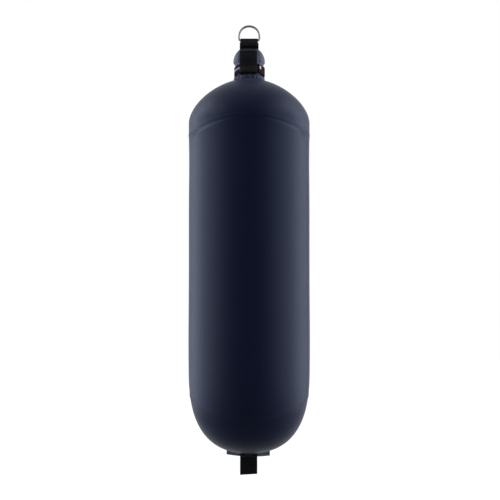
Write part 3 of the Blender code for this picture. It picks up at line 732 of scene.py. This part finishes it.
# Neck band
# A 20 mm hook-and-loop webbing strip, black with a pale stripe along part of its middle.
# It is wound once round the neck and lapped over itself on the right, and runs higher at the strap.
BAND_THICKNESS = 0.0012
BAND_SLACK = 0.0013
BAND_START = radians(120)
BAND_END = radians(35)
BAND_RAMP = radians(22)
BAND_TIP_RADIUS = 0.008
STRAP_ROOM = 0.00045
BAND_STEPS = 180
STRIPE_MIDDLE = 0.0010
STRIPE_HALF = 0.0019
STRIPE_EDGE = 0.0009
WEBBING_THREADS = (0.0011, 0.0016)
BLACK_WEB = (0.0030, 0.0030, 0.0032, 1.0)
BLACK_WEB_WORN = (0.009, 0.0085, 0.0085, 1.0)
STRIPE_COLOUR = (0.120, 0.110, 0.108, 1.0)
STRIPE_LINE = (0.014, 0.005, 0.005, 1.0)
STRIPE_START = 0.055
STRIPE_END = 0.222
LAP_BROWN = (0.022, 0.0050, 0.0055, 1.0)
LAP_SHARE = 0.4
# A pale patch near the band's tip: a painted glint.
PAINTED_GLINT_AT = (0.0030, 0.2556)
PAINTED_GLINT_HALF = (0.0034, 0.0020)
PAINTED_GLINT_COLOUR = (0.30, 0.26, 0.25, 1.0)

band_half_width = WAIST_HALF_WIDTH + BAND_SLACK
band_half_depth = WAIST_HALF_DEPTH + STRAP_ROOM + STRAP_THICKNESS + STRAP_ROOM
band_travel = tau + BAND_START - BAND_END
band_face = [-1.0, -0.9, -0.6, -0.3, 0.0, 0.3, 0.6, 0.9, 1.0]
band_outline = [(share, 1.0 if abs(share) < 1 else 0.75) for share in band_face]
band_outline += [(share, 0.0 if abs(share) < 1 else 0.25) for share in reversed(band_face)]
band_rings = []
band_flat = []
for i in range(BAND_STEPS + 1):
    travel = band_travel * i / BAND_STEPS
    angle = BAND_START - travel
    lapped = smooth_rise((travel - (tau - BAND_RAMP)) / BAND_RAMP) * (BAND_THICKNESS + CLEAR)
    left = (band_travel - travel) * band_half_width
    half = BAND_WIDTH / 2
    if left < BAND_TIP_RADIUS:
        half -= BAND_TIP_RADIUS - sqrt(BAND_TIP_RADIUS**2 - (BAND_TIP_RADIUS - left) ** 2)
    middle = BAND_Z + BAND_RISE * cos(angle) ** 2
    ring = []
    for share, layer in band_outline:
        rise = lapped + BAND_THICKNESS * layer
        x = (band_half_width + rise) * sin(angle)
        y = -(band_half_depth + rise) * cos(angle)
        ring.append(Vector((x, y, middle + half * share)))
    band_rings.append(ring)
    band_flat.append([(half * share, travel * band_half_width) for share, _ in band_outline])
    band_flat[-1].append(band_flat[-1][0])
neck_band = skin("neck_band_strip", band_rings, band_flat)


def webbing_finish(name, colour=BLACK_WEB, worn=BLACK_WEB_WORN):
    """Black woven webbing with a rubbed surface."""
    surface = dict(relief=0.00025, wear=0.45, roughness=0.72, Specular_IOR_Level=0.005)
    return woven_finish(name, colour, worn, WEBBING_THREADS, **surface)


def striped_webbing_finish():
    """Pale threads and a red-brown line along the webbing, a browner lapped end, and a pale patch near its
    tip that is a painted glint.
    """
    made = webbing_finish("striped_webbing")
    tree, weave = opened(made)
    flat = cloth_map(tree)
    across = flat[0]
    along = flat[1]

    def near(value, middle, half):
        """1 within half of the middle, and 0 elsewhere."""
        away = calc(tree, "ABSOLUTE", calc(tree, "SUBTRACT", value, middle))
        return calc(tree, "LESS_THAN", away, half)

    wound = near(along, (STRIPE_START + STRIPE_END) / 2, (STRIPE_END - STRIPE_START) / 2)
    last = calc(tree, "GREATER_THAN", along, STRIPE_END)
    inside = calc(tree, "MULTIPLY", near(across, STRIPE_MIDDLE, STRIPE_HALF), wound)
    edge_middle = STRIPE_MIDDLE - STRIPE_HALF - STRIPE_EDGE
    line = calc(tree, "MULTIPLY", near(across, edge_middle, STRIPE_EDGE), wound)
    lapped = calc(tree, "MULTIPLY", last, LAP_SHARE)
    # Painted glint: a pale patch near the band's tip.
    glint_across = near(across, PAINTED_GLINT_AT[0], PAINTED_GLINT_HALF[0])
    glint_mask = calc(tree, "MULTIPLY", glint_across, near(along, PAINTED_GLINT_AT[1], PAINTED_GLINT_HALF[1]))
    # Painted shade: each colour is darkened between the threads of the weave.
    crown = calc(tree, "MULTIPLY_ADD", weave["Crown"], 0.5, 0.6)
    colour = weave["Colour"]
    for mask, dye in (
        (lapped, LAP_BROWN),
        (line, STRIPE_LINE),
        (inside, STRIPE_COLOUR),
        (glint_mask, PAINTED_GLINT_COLOUR),
    ):
        colour = mixed(tree, mask, colour, scaled(tree, dye[:3], crown))
    recolour(tree, colour)
    return made


dress(neck_band, "fender", striped_webbing_finish(), "webbing", "neck_band")

# Top strap
# One length of 40 mm black webbing round the ring's bar, down the front and the back of the tuft and
# over the band. Both ends are folded under the band, up inside it, and box-stitched to the strap.
WIRE_RADIUS = 0.0025
RING_INNER_RADIUS = 0.0211
RING_BAR_Z = -0.0302
STRAP_WIDTH = 0.040
STRAP_SKEW = 0.0019
STRAP_SKEW_START = 0.0015
STRAP_SKEW_RUN = 0.0065
STRAP_PINCH_RISE = 0.0024
STRAP_SEWN_END = 0.50
STRAP_PARTING = 0.93
STRAP_PINCH_PULLS = (0.45, 0.27)
STRAP_LIFT_RUN = (0.16, 0.14)
STRAP_TAUT_TOP = 0.25
STRAP_INNER_TOP = 0.1
STRAP_HUG_RUN = (0.003, 0.017)
STRAP_HUG_WIDTH = 0.62
OUTER_LEG_POINTS = 58
TUFT_TOP_Z = -0.0441
TUFT_TO_BAND = 0.0216
STRAP_BOX_TOP_Z = -0.0665
STRAP_BOX_LOW_Z = -0.0910
BOX_HALF_WIDTH = 0.0160
BLACK_THREAD = (0.024, 0.024, 0.024, 1.0)
BOX_THREAD_RADIUS = 0.0004
BOX_STITCH_PITCH = 0.0032
BOX_STITCH_LENGTH = 0.0024
# Webbing colours as lit at the strap's brightest bends; the ramp below darkens them elsewhere with painted
# shade.
STRAP_PALE = (0.0090, 0.0090, 0.0092, 1.0)
STRAP_PALE_WORN = (0.027, 0.0265, 0.0265, 1.0)
# Heights on the strap, and how much of its colour shows there: painted light on the bend over the ring's
# bar and on the ridge over the tuft, painted shade in the pinch below the ring, under that ridge and under
# the band's fold, and a brown stain with a painted highlight where the strap rolls over the band
STRAP_LIGHT_SHADE_AND_STAIN = (
    (-0.1150, (0.12, 0.12, 0.14)),
    (-0.1110, (0.12, 0.12, 0.14)),
    (-0.1095, (0.42, 0.42, 0.40)),
    (-0.1050, (0.60, 0.62, 0.42)),
    (-0.1000, (0.62, 0.60, 0.45)),
    (-0.0960, (0.40, 0.33, 0.32)),
    (-0.0930, (0.30, 0.30, 0.30)),
    (-0.0670, (0.38, 0.38, 0.38)),
    (-0.0620, (0.12, 0.12, 0.12)),
    (-0.0590, (0.95, 0.95, 0.95)),
    (-0.0540, (0.95, 0.95, 0.95)),
    (-0.0515, (0.08, 0.07, 0.07)),
    (-0.0445, (0.08, 0.07, 0.07)),
    (-0.0415, (0.45, 0.43, 0.43)),
    (-0.0330, (0.75, 0.72, 0.72)),
    (-0.0290, (0.40, 0.38, 0.38)),
)
STRIP_COLUMNS = 24


def strap_offset_point(z, offset):
    """Point off the front of the tuft and neck, at a distance square to its side outline."""
    span = 0.0005
    slope = (half_depth(z + span) - half_depth(z - span)) / (2 * span)
    length = hypot(1.0, slope)
    return -half_depth(z) - offset / length, z - offset * slope / length


def strap_half_route():
    """Centre line of the front half of the strap in the YZ plane, from the ring to its inner end."""
    wrap = WIRE_RADIUS + CLEAR + STRAP_THICKNESS / 2
    single = STRAP_ROOM + STRAP_THICKNESS / 2
    double = single + STRAP_THICKNESS + CLEAR
    route = []
    for i in range(1, 13):
        turn = pi / 2 * i / 12
        route.append((-wrap * sin(turn), RING_BAR_Z + wrap * cos(turn)))
    pinch_z = TUFT_TOP_Z + STRAP_PINCH_RISE
    drop = Vector((0.0, 0.0, pinch_z - RING_BAR_Z))
    start = Vector((0.0, -wrap, RING_BAR_Z))
    end = Vector((0.0, -(CLEAR + STRAP_THICKNESS) / 2, pinch_z))
    start_pull = start + drop * STRAP_PINCH_PULLS[0]
    end_pull = end - drop * STRAP_PINCH_PULLS[1]
    for point in interpolate_bezier(start, start_pull, end_pull, end, 14)[1:]:
        route.append((point.y, point.z))
    for step in steps(30):
        share = STRAP_PARTING * (1 - step)
        spread = smooth_rise((STRAP_SEWN_END + STRAP_LIFT_RUN[0] - share) / STRAP_LIFT_RUN[1])
        z = TUFT_WIDE_Z + share * TUFT_HEIGHT
        route.append(strap_offset_point(z, between(single, double, spread)))
    outer_y = -(band_half_depth + BAND_THICKNESS + single)
    inner_y = -(WAIST_HALF_DEPTH + single)
    fold = (inner_y - outer_y) / 2
    centre_z = FOLD_Z + fold
    top_z = TUFT_WIDE_Z - STRAP_TAUT_TOP * TUFT_TO_BAND
    route += [(outer_y, between(top_z, centre_z, share)) for share in steps(8)]
    for i in range(1, 12):
        turn = pi * i / 12
        y = (outer_y + inner_y) / 2 - fold * cos(turn)
        route.append((y, centre_z - fold * sin(turn)))
    inner_top = BAND_Z + BAND_RISE + BAND_WIDTH / 2 + CLEAR
    route += [(inner_y, between(centre_z, inner_top, share)) for share in steps(4)]
    rise_z = TUFT_WIDE_Z - STRAP_INNER_TOP * TUFT_TO_BAND
    end_z = TUFT_WIDE_Z + STRAP_SEWN_END * TUFT_HEIGHT
    route += [strap_offset_point(between(rise_z, end_z, share), single) for share in steps(14)]
    return route


def strap_place(x, y, z, shift_y, shift_z):
    """Bends the webbing round the tuft, and shifts its front leg left and its back leg right."""
    side = 1.0 if y > 0 else -1.0
    x += side * STRAP_SKEW * smooth_rise((RING_BAR_Z - STRAP_SKEW_START - z) / STRAP_SKEW_RUN)
    deep = abs(y)
    hold = smooth_rise((deep - STRAP_HUG_RUN[0]) / STRAP_HUG_RUN[1])
    wide = max(deep + half_width(z) - half_depth(z), STRAP_HUG_WIDTH * STRAP_WIDTH)
    bend = hold * deep * (1 - sqrt(1 - min(abs(x) / wide, 1.0) ** 2))
    return Vector((x, y - side * bend + shift_y, z + shift_z))


def strip_sides(route):
    """Direction square to the strip at each point of its route, and the distance along it."""
    sides = []
    marks = [0.0]
    for i, (y, z) in enumerate(route):
        before = route[max(i - 1, 0)]
        after = route[min(i + 1, len(route) - 1)]
        run = hypot(after[0] - before[0], after[1] - before[1])
        sides.append((-(after[1] - before[1]) / run, (after[0] - before[0]) / run))
        if i:
            marks.append(marks[-1] + hypot(y - route[i - 1][0], z - route[i - 1][1]))
    return sides, marks


def strip(name, route, place):
    """Webbing along a route of (y, z) points, with rounded selvedges and rows that lie in its weave."""
    sides, marks = strip_sides(route)
    shares = [2 * share - 1 for share in steps(STRIP_COLUMNS)]
    outline = [(share, 1.0 if abs(share) < 1 else 0.5) for share in shares]
    outline += [(share, -1.0 if abs(share) < 1 else -0.5) for share in reversed(shares)]
    half = STRAP_THICKNESS / 2
    rings = []
    flat = []
    for (y, z), (side_y, side_z), mark in zip(route, sides, marks):
        ring = []
        for share, layer in outline:
            ring.append(place(share * STRAP_WIDTH / 2, y, z, side_y * half * layer, side_z * half * layer))
        rings.append(ring)
        flat.append([(share * STRAP_WIDTH / 2, mark) for share, _ in outline])
        flat[-1].append(flat[-1][0])
    return skin(name, rings, flat)


def strip_sample(route, place, x, mark, face):
    """A (point, outward) sample on one face of a strip, at x across it and a distance along it."""
    sides, marks = strip_sides(route)
    k = max(i for i in range(len(marks) - 1) if marks[i] <= mark)
    step = (mark - marks[k]) / (marks[k + 1] - marks[k])
    y, z = (between(first, last, step) for first, last in zip(route[k], route[k + 1]))
    side_y, side_z = (between(first, last, step) for first, last in zip(sides[k], sides[k + 1]))
    half = face * STRAP_THICKNESS / 2
    point = place(x, y, z, side_y * half, side_z * half)
    out = place(x, y, z, side_y * half * 2, side_z * half * 2) - point
    return point, out.normalized()


def box_stitch(half_width, start, end, sample):
    """Runs of a sewn box with a cross in it, between two distances along a strip."""
    corners = [(-half_width, start), (half_width, start), (half_width, end), (-half_width, end)]
    legs = list(zip(corners, corners[1:] + corners[:1]))
    legs += [(corners[0], corners[2]), (corners[1], corners[3])]
    runs = []
    for (x0, m0), (x1, m1) in legs:
        runs.append([sample(between(x0, x1, share), between(m0, m1, share)) for share in steps(16)])
    return runs


strap_front = strap_half_route()
strap_back = [(-y, z) for y, z in strap_front]
strap_crown = (0.0, RING_BAR_Z + WIRE_RADIUS + CLEAR + STRAP_THICKNESS / 2)
strap_route = list(reversed(strap_back)) + [strap_crown] + strap_front


def strap_finish():
    """Black webbing with painted light on its bends, painted shade in its creases, and a brown stain with
    a painted highlight over the band.
    """
    made = webbing_finish("strap_webbing", STRAP_PALE, STRAP_PALE_WORN)
    tree, weave = opened(made)
    low = STRAP_LIGHT_SHADE_AND_STAIN[0][0]
    reach = STRAP_LIGHT_SHADE_AND_STAIN[-1][0] - low
    share = calc(tree, "MULTIPLY_ADD", object_height(tree), 1 / reach, -low / reach)
    ramp = add_node(tree, "ValToRGB", {0: share})
    stops = ramp.color_ramp.elements
    stops[0].color = (*STRAP_LIGHT_SHADE_AND_STAIN[0][1], 1.0)
    stops[-1].color = (*STRAP_LIGHT_SHADE_AND_STAIN[-1][1], 1.0)
    for z, shade in STRAP_LIGHT_SHADE_AND_STAIN[1:-1]:
        stops.new((z - low) / reach).color = (*shade, 1.0)
    colours = {0: weave["Colour"], 1: ramp.outputs[0]}
    # The webbing's colour times the ramp: painted light and shade, and the brown stain.
    worn = add_node(tree, "VectorMath", colours, operation="MULTIPLY")
    recolour(tree, worn.outputs[0])
    return made


top_strap = strip("top_strap_webbing", strap_route, strap_place)
dress(top_strap, "fender", strap_finish(), "webbing", "top_strap")

black_thread = moulded_finish("black_thread", BLACK_THREAD, 0.5, 0.0006, Specular_IOR_Level=0.05)
strap_marks = strip_sides(strap_route)[1]
strap_runs = []
for sign in (-1, 1):
    outer_leg = []
    for i, (y, z) in enumerate(strap_route):
        if y * sign > 0 and z < RING_BAR_Z and abs(i - len(strap_back)) < OUTER_LEG_POINTS:
            outer_leg.append((abs(z - STRAP_BOX_TOP_Z), abs(z - STRAP_BOX_LOW_Z), strap_marks[i]))
    top_mark = min(outer_leg)[2]
    low_mark = min((low, mark) for _, low, mark in outer_leg)[1]
    strap_runs += box_stitch(
        BOX_HALF_WIDTH, top_mark, low_mark, lambda x, m: strip_sample(strap_route, strap_place, x, m, 1)
    )
strap_stitches = sew(
    "strap_stitches", strap_runs, BOX_THREAD_RADIUS, BOX_STITCH_PITCH, BOX_STITCH_LENGTH
)
dress(strap_stitches, "fender", black_thread, "webbing")

# D-ring
# Round stainless wire bent to a D and welded shut in its straight bar, inside the strap.
RING_CORNER_RADIUS = 0.004
RING_MID_RADIUS = RING_INNER_RADIUS + WIRE_RADIUS
STEEL = (0.120, 0.103, 0.094, 1.0)
WIRE_SIDES = 20
SCRATCHES_PER_METRE = (3000.0, 250.0, 1.0)


def ring_route():
    """Centre line of the wire in the XZ plane, once round."""
    route = []
    for share in steps(64):
        turn = pi * share
        x = RING_MID_RADIUS * cos(turn)
        route.append((x, -RING_INNER_RADIUS + RING_MID_RADIUS * sin(turn)))
    bar_half = RING_MID_RADIUS - RING_CORNER_RADIUS
    for side, start in ((-1, pi), (1, 1.5 * pi)):
        for share in steps(10):
            turn = start + pi / 2 * share
            x = side * bar_half + RING_CORNER_RADIUS * cos(turn)
            route.append((x, RING_BAR_Z + RING_CORNER_RADIUS + RING_CORNER_RADIUS * sin(turn)))
        if side < 0:
            route += [(between(-bar_half, bar_half, share), RING_BAR_Z) for share in steps(16)[1:-1]]
    return route


def make_drawn_steel():
    """Drawn and tumbled wire: fine scratches, a cloudy polish and darker worn patches."""
    inputs = [("Colour", "Color", STEEL), ("Roughness", "Float", 0.3)]
    tree, given, made = group_tree("drawn_steel", inputs, SURFACE)
    flat = add_node(tree, "UVMap", uv_map="cloth").outputs[0]
    stretch = add_node(tree, "Mapping", {"Vector": flat, "Scale": SCRATCHES_PER_METRE})
    noise = add_node(tree, "TexNoise", {"Vector": stretch.outputs[0], "Scale": 1.0})
    scratch = noise.outputs["Fac"]
    shade = calc(tree, "MULTIPLY_ADD", object_noise(tree, 160.0, 4.0), 0.5, 0.6)
    tint = scaled(tree, given["Colour"], shade)
    mark = calc(tree, "MULTIPLY", scratch, 0.105)
    rough = calc(tree, "MULTIPLY_ADD", given["Roughness"], shade, mark)
    give_out(tree, made, Colour=tint, Roughness=rough, Normal=bumped(tree, scratch, 0.00002, 0.5))
    return tree


wire_route = ring_route()
wire_rings = []
wire_flat = []
wire_run = 0.0
for i, (x, z) in enumerate(wire_route):
    before = wire_route[i - 1]
    after = wire_route[(i + 1) % len(wire_route)]
    ahead = Vector((after[0] - before[0], 0.0, after[1] - before[1])).normalized()
    out = Vector((ahead.z, 0.0, -ahead.x))
    ring = []
    for turn in even_angles(WIRE_SIDES):
        reach = out * cos(turn) + Vector((0.0, sin(turn), 0.0))
        ring.append(Vector((x, 0.0, z)) + reach * WIRE_RADIUS)
    wire_rings.append(ring)
    wire_flat.append([(tau * WIRE_RADIUS * share, wire_run) for share in steps(WIRE_SIDES)])
    wire_run += hypot(after[0] - x, after[1] - z)
d_ring = skin("d_ring_wire", wire_rings, wire_flat, wrap=True)
steel_values = {"Colour": STEEL, "Roughness": 0.42}
steel = finish_from("stainless_steel", make_drawn_steel(), steel_values, Metallic=1.0)
dress(d_ring, "ring", steel, "steel", "d_ring")

# Bottom tab
# A flat tab of doubled navy cloth sewn across the bottom, a little to the left.
# It is hemmed along its lower edge, and the sewing stops where the loop covers it.
TAB_WIDTH = 0.1008
TAB_HEIGHT = 0.0139
TAB_SAG = 0.0035
TAB_HEM = 0.007
TAB_HEM_LAP = 0.0005
TAB_COLUMNS = 72
TAB_RIPPLE = 0.0006
TAB_TILT = 0.0014
TAB_SHIFT = -0.0022
# Painted light: a pale navy that lightens the tab, which hangs in the shade under the dome.
TAB_PAINTED_LIGHT = (0.060, 0.062, 0.072, 1.0)
TAB_PAINTED_LIGHT_FULL_Z = BOTTOM_Z - 0.003
TAB_PAINTED_LIGHT_NONE_Z = BOTTOM_Z + 0.02
TAB_RIPPLE_RUN = 0.012
TAB_STITCH_DROP = 0.0015
TAB_STITCH_DIP = 0.0003
TAB_RUN_INSET = 0.002


def tab_ripple(x, z):
    """The tab's lower edge waves a little to the front and the back, away from the loop."""
    hang = min(max((BOTTOM_Z - z) / TAB_HEIGHT, 0.0), 1.0)
    clear_of_loop = smooth_rise((abs(x) - STRAP_WIDTH / 2) / TAB_RIPPLE_RUN)
    return TAB_RIPPLE * hang * clear_of_loop * sin(x * 140 + 0.8)


def tab_low(x):
    """Lower edge of the tab: bowed up at both ends, and a little lower on the right."""
    share = 2 * x / TAB_WIDTH
    return BOTTOM_Z - TAB_HEIGHT + TAB_SAG * share**2 - TAB_TILT * share


tab_rings = []
tab_flat = []
for step in steps(TAB_COLUMNS):
    x = TAB_WIDTH * (step - 0.5)
    share = abs(x) / BODY_RADIUS
    dome = BOTTOM_DOME_HEIGHT * (1 - share**BOTTOM_DOME_POWER) ** (1 / BOTTOM_DOME_POWER)
    top = BOTTOM_DOME_Z - dome - CLEAR
    low = tab_low(x)
    hem = low + TAB_HEM
    thick = CLOTH + TAB_HEM_LAP
    side = [(CLOTH, top), (CLOTH, (top + hem) / 2), (CLOTH, hem + 0.0003)]
    side += [(thick - 0.0001, hem), (thick, hem - TAB_HEM_LAP)]
    side += [(thick - TAB_STITCH_DIP, hem - TAB_STITCH_DROP)]
    side += [(thick, hem - 0.003), (thick, low + 0.0007), (thick - 0.0005, low + 0.0001)]
    outline = side + [(-y, z) for y, z in reversed(side)]
    tab_rings.append([Vector((x + TAB_SHIFT, y + tab_ripple(x, z), z)) for y, z in outline])
    tab_flat.append([(x, z) for _, z in outline])
    tab_flat[-1].append(tab_flat[-1][0])
bottom_tab = skin("bottom_tab_cloth", tab_rings, tab_flat)
# The tab is painted paler below the cover's bottom: painted light.
tab_cloth_painted_light = painted_light_cloth("navy_cloth_tab_painted_light", TAB_PAINTED_LIGHT, TAB_PAINTED_LIGHT_FULL_Z, TAB_PAINTED_LIGHT_NONE_Z)
dress(bottom_tab, "fender", tab_cloth_painted_light, "navy_cloth", "bottom_tab")

tab_runs = []
for face in (-1, 1):
    run = []
    for step in steps(80):
        x = (TAB_WIDTH - 2 * TAB_RUN_INSET) * (step - 0.5)
        z = tab_low(x) + TAB_HEM - TAB_STITCH_DROP
        y = face * (CLOTH + TAB_HEM_LAP - TAB_STITCH_DIP) + tab_ripple(x, z)
        run.append((Vector((x + TAB_SHIFT, y, z)), Vector((0.0, face, 0.0))))
    tab_runs += [run[:25], run[56:]]
tab_stitches = sew("tab_stitches", tab_runs, THREAD_RADIUS, STITCH_PITCH, STITCH_LENGTH)
dress(tab_stitches, "fender", navy_thread, "navy_cloth")

# Bottom loop
# A loop of 40 mm black webbing whose legs clasp the tab and are sewn through it; it hangs a little askew.
LOOP_DROP = 0.0554
LOOP_HALF_GAP = 0.0077
LOOP_LEAN = radians(3.3)
LOOP_SHIFT = -0.0012
LOOP_SEAT_DROP = 0.0046
LOOP_BOX_START = 0.0016
LOOP_BOX_END = 0.0084

loop_tight = CLOTH + TAB_HEM_LAP + CLEAR + STRAP_THICKNESS / 2
loop_open = LOOP_HALF_GAP + STRAP_THICKNESS / 2
loop_top_z = BOTTOM_Z - LOOP_SEAT_DROP
loop_tab_z = BOTTOM_Z - TAB_HEIGHT
loop_centre_z = BOTTOM_Z - LOOP_DROP + STRAP_THICKNESS / 2 + loop_open
loop_leg = [(-loop_tight, between(loop_top_z, loop_tab_z, share)) for share in steps(6)]
for share in steps(18)[1:]:
    spread = between(loop_tight, loop_open, smooth_rise(share))
    loop_leg.append((-spread, between(loop_tab_z, loop_centre_z, share)))
loop_arc = []
for share in steps(27)[1:-1]:
    turn = pi * share
    loop_arc.append((-loop_open * cos(turn), loop_centre_z - loop_open * sin(turn)))
loop_route = loop_leg + loop_arc + [(-y, z) for y, z in reversed(loop_leg)]


def loop_place(x, y, z, shift_y, shift_z):
    share = smooth_rise((loop_tab_z - z) / (loop_tab_z - loop_centre_z))
    return Vector((x + LOOP_SHIFT, y + shift_y, z + shift_z + x * tan(LOOP_LEAN) * share))


bottom_loop = strip("bottom_loop_webbing", loop_route, loop_place)
dress(bottom_loop, "fender", webbing_finish("loop_webbing"), "webbing", "bottom_loop")
loop_length = strip_sides(loop_route)[1][-1]
loop_runs = []
loop_boxes = [(LOOP_BOX_START, LOOP_BOX_END)]
loop_boxes += [(loop_length - LOOP_BOX_END, loop_length - LOOP_BOX_START)]
for start, end in loop_boxes:
    loop_runs += box_stitch(
        BOX_HALF_WIDTH, start, end, lambda x, m: strip_sample(loop_route, loop_place, x, m, -1)
    )
loop_stitches = sew(
    "loop_stitches", loop_runs, BOX_THREAD_RADIUS, BOX_STITCH_PITCH, BOX_STITCH_LENGTH
)
dress(loop_stitches, "fender", black_thread, "webbing")

# Camera, lights and floor
# The fender hangs in a white room, over a white floor.
# A tall soft light stands on each side of it, and a weak one hangs above.
WHITE = (1.0, 1.0, 1.0, 1.0)
CAMERA_PLACE = (0.0019, -1.861, -0.5177)
CAMERA_LENS = 57.6
FLOOR_Z = -1.60
FLOOR_WHITENING = 0.5
FLOOR_GLOW = 2.0
ROOM_LIGHT = 0.25
SIDE_LIGHTS = (("left_light", -1.5, 0.05), ("right_light", 1.5, -0.03))
SIDE_LIGHT_POWER = 192.0
SIDE_LIGHT_Z = 0.1
SIDE_LIGHT_DEPTH = 2.4
SIDE_LIGHT_HEIGHT = 3.0
LAMP_TINT = (0.73, 0.81, 1.0)
TOP_LIGHT_PLACE = (0.0, -0.3, 1.3)
TOP_LIGHT_POWER = 2.0
TOP_LIGHT_SIZE = 1.2
FLOOR_GREY = 0.08

camera_data = bpy.data.cameras.new("camera")
camera_data.lens = CAMERA_LENS
camera = put("camera", camera_data)
camera.location = CAMERA_PLACE
camera.rotation_euler = (radians(90), 0.0, 0.0)
scene.camera = camera
scene.view_settings.view_transform = "Standard"


def soft_light(name, place, width, height, power):
    """A rectangular light that points down until it is turned."""
    data = bpy.data.lights.new(name, "AREA")
    data.shape = "RECTANGLE"
    data.size = width
    data.size_y = height
    data.energy = power
    data.color = LAMP_TINT
    lamp = put(name, data)
    lamp.location = place
    return lamp


for name, x, y in SIDE_LIGHTS:
    place = Vector((x, y, SIDE_LIGHT_Z))
    lamp = soft_light(name, place, SIDE_LIGHT_DEPTH, SIDE_LIGHT_HEIGHT, SIDE_LIGHT_POWER)
    aim = Vector((0.0, 0.0, SIDE_LIGHT_Z)) - place
    lamp.rotation_euler = aim.to_track_quat("-Z", "Y").to_euler()
soft_light("top_light", TOP_LIGHT_PLACE, TOP_LIGHT_SIZE, TOP_LIGHT_SIZE, TOP_LIGHT_POWER)


def sees_white(tree):
    """1 for a ray from the camera, a reflection or a clear material, and 0 for light on the fender."""
    path = add_node(tree, "LightPath")
    seen = calc(tree, "MAXIMUM", path.outputs["Is Camera Ray"], path.outputs["Is Glossy Ray"])
    return calc(tree, "MAXIMUM", seen, path.outputs["Is Transmission Ray"])


floor_mesh = bpy.data.meshes.new("floor")
floor_corners = [(-6.0, -6.0, FLOOR_Z), (6.0, -6.0, FLOOR_Z), (6.0, 6.0, FLOOR_Z), (-6.0, 6.0, FLOOR_Z)]
floor_mesh.from_pydata(floor_corners, [], [(0, 1, 2, 3)])
floor_finish = bpy.data.materials.new("floor_white")
floor_finish.use_nodes = True
floor_tree = floor_finish.node_tree
floor_shader = floor_tree.nodes["Principled BSDF"]
floor_shader.inputs["Base Color"].default_value = (FLOOR_GREY, FLOOR_GREY, FLOOR_GREY, 1.0)
floor_shader.inputs["Roughness"].default_value = 0.9
floor_seen = calc(floor_tree, "MULTIPLY", sees_white(floor_tree), FLOOR_WHITENING)
floor_white = add_node(floor_tree, "Emission", {"Color": WHITE, "Strength": FLOOR_GLOW})
floor_looks = {0: floor_seen, 1: floor_shader.outputs[0], 2: floor_white.outputs[0]}
floor_mix = add_node(floor_tree, "MixShader", floor_looks)
floor_tree.links.new(floor_mix.outputs[0], floor_tree.nodes["Material Output"].inputs["Surface"])
floor_mesh.materials.append(floor_finish)
floor = put("floor", floor_mesh)

room = scene.world or bpy.data.worlds.new("room")
scene.world = room
room.use_nodes = True
room_tree = room.node_tree
room_back = room_tree.nodes["Background"]
room_back.inputs["Color"].default_value = WHITE
room_back.inputs["Strength"].default_value = ROOM_LIGHT
room_seen = add_node(room_tree, "Background", {"Color": WHITE, "Strength": 1.0})
room_looks = {0: sees_white(room_tree), 1: room_back.outputs[0], 2: room_seen.outputs[0]}
room_mix = add_node(room_tree, "MixShader", room_looks)
room_tree.links.new(room_mix.outputs[0], room_tree.nodes["World Output"].inputs["Surface"])
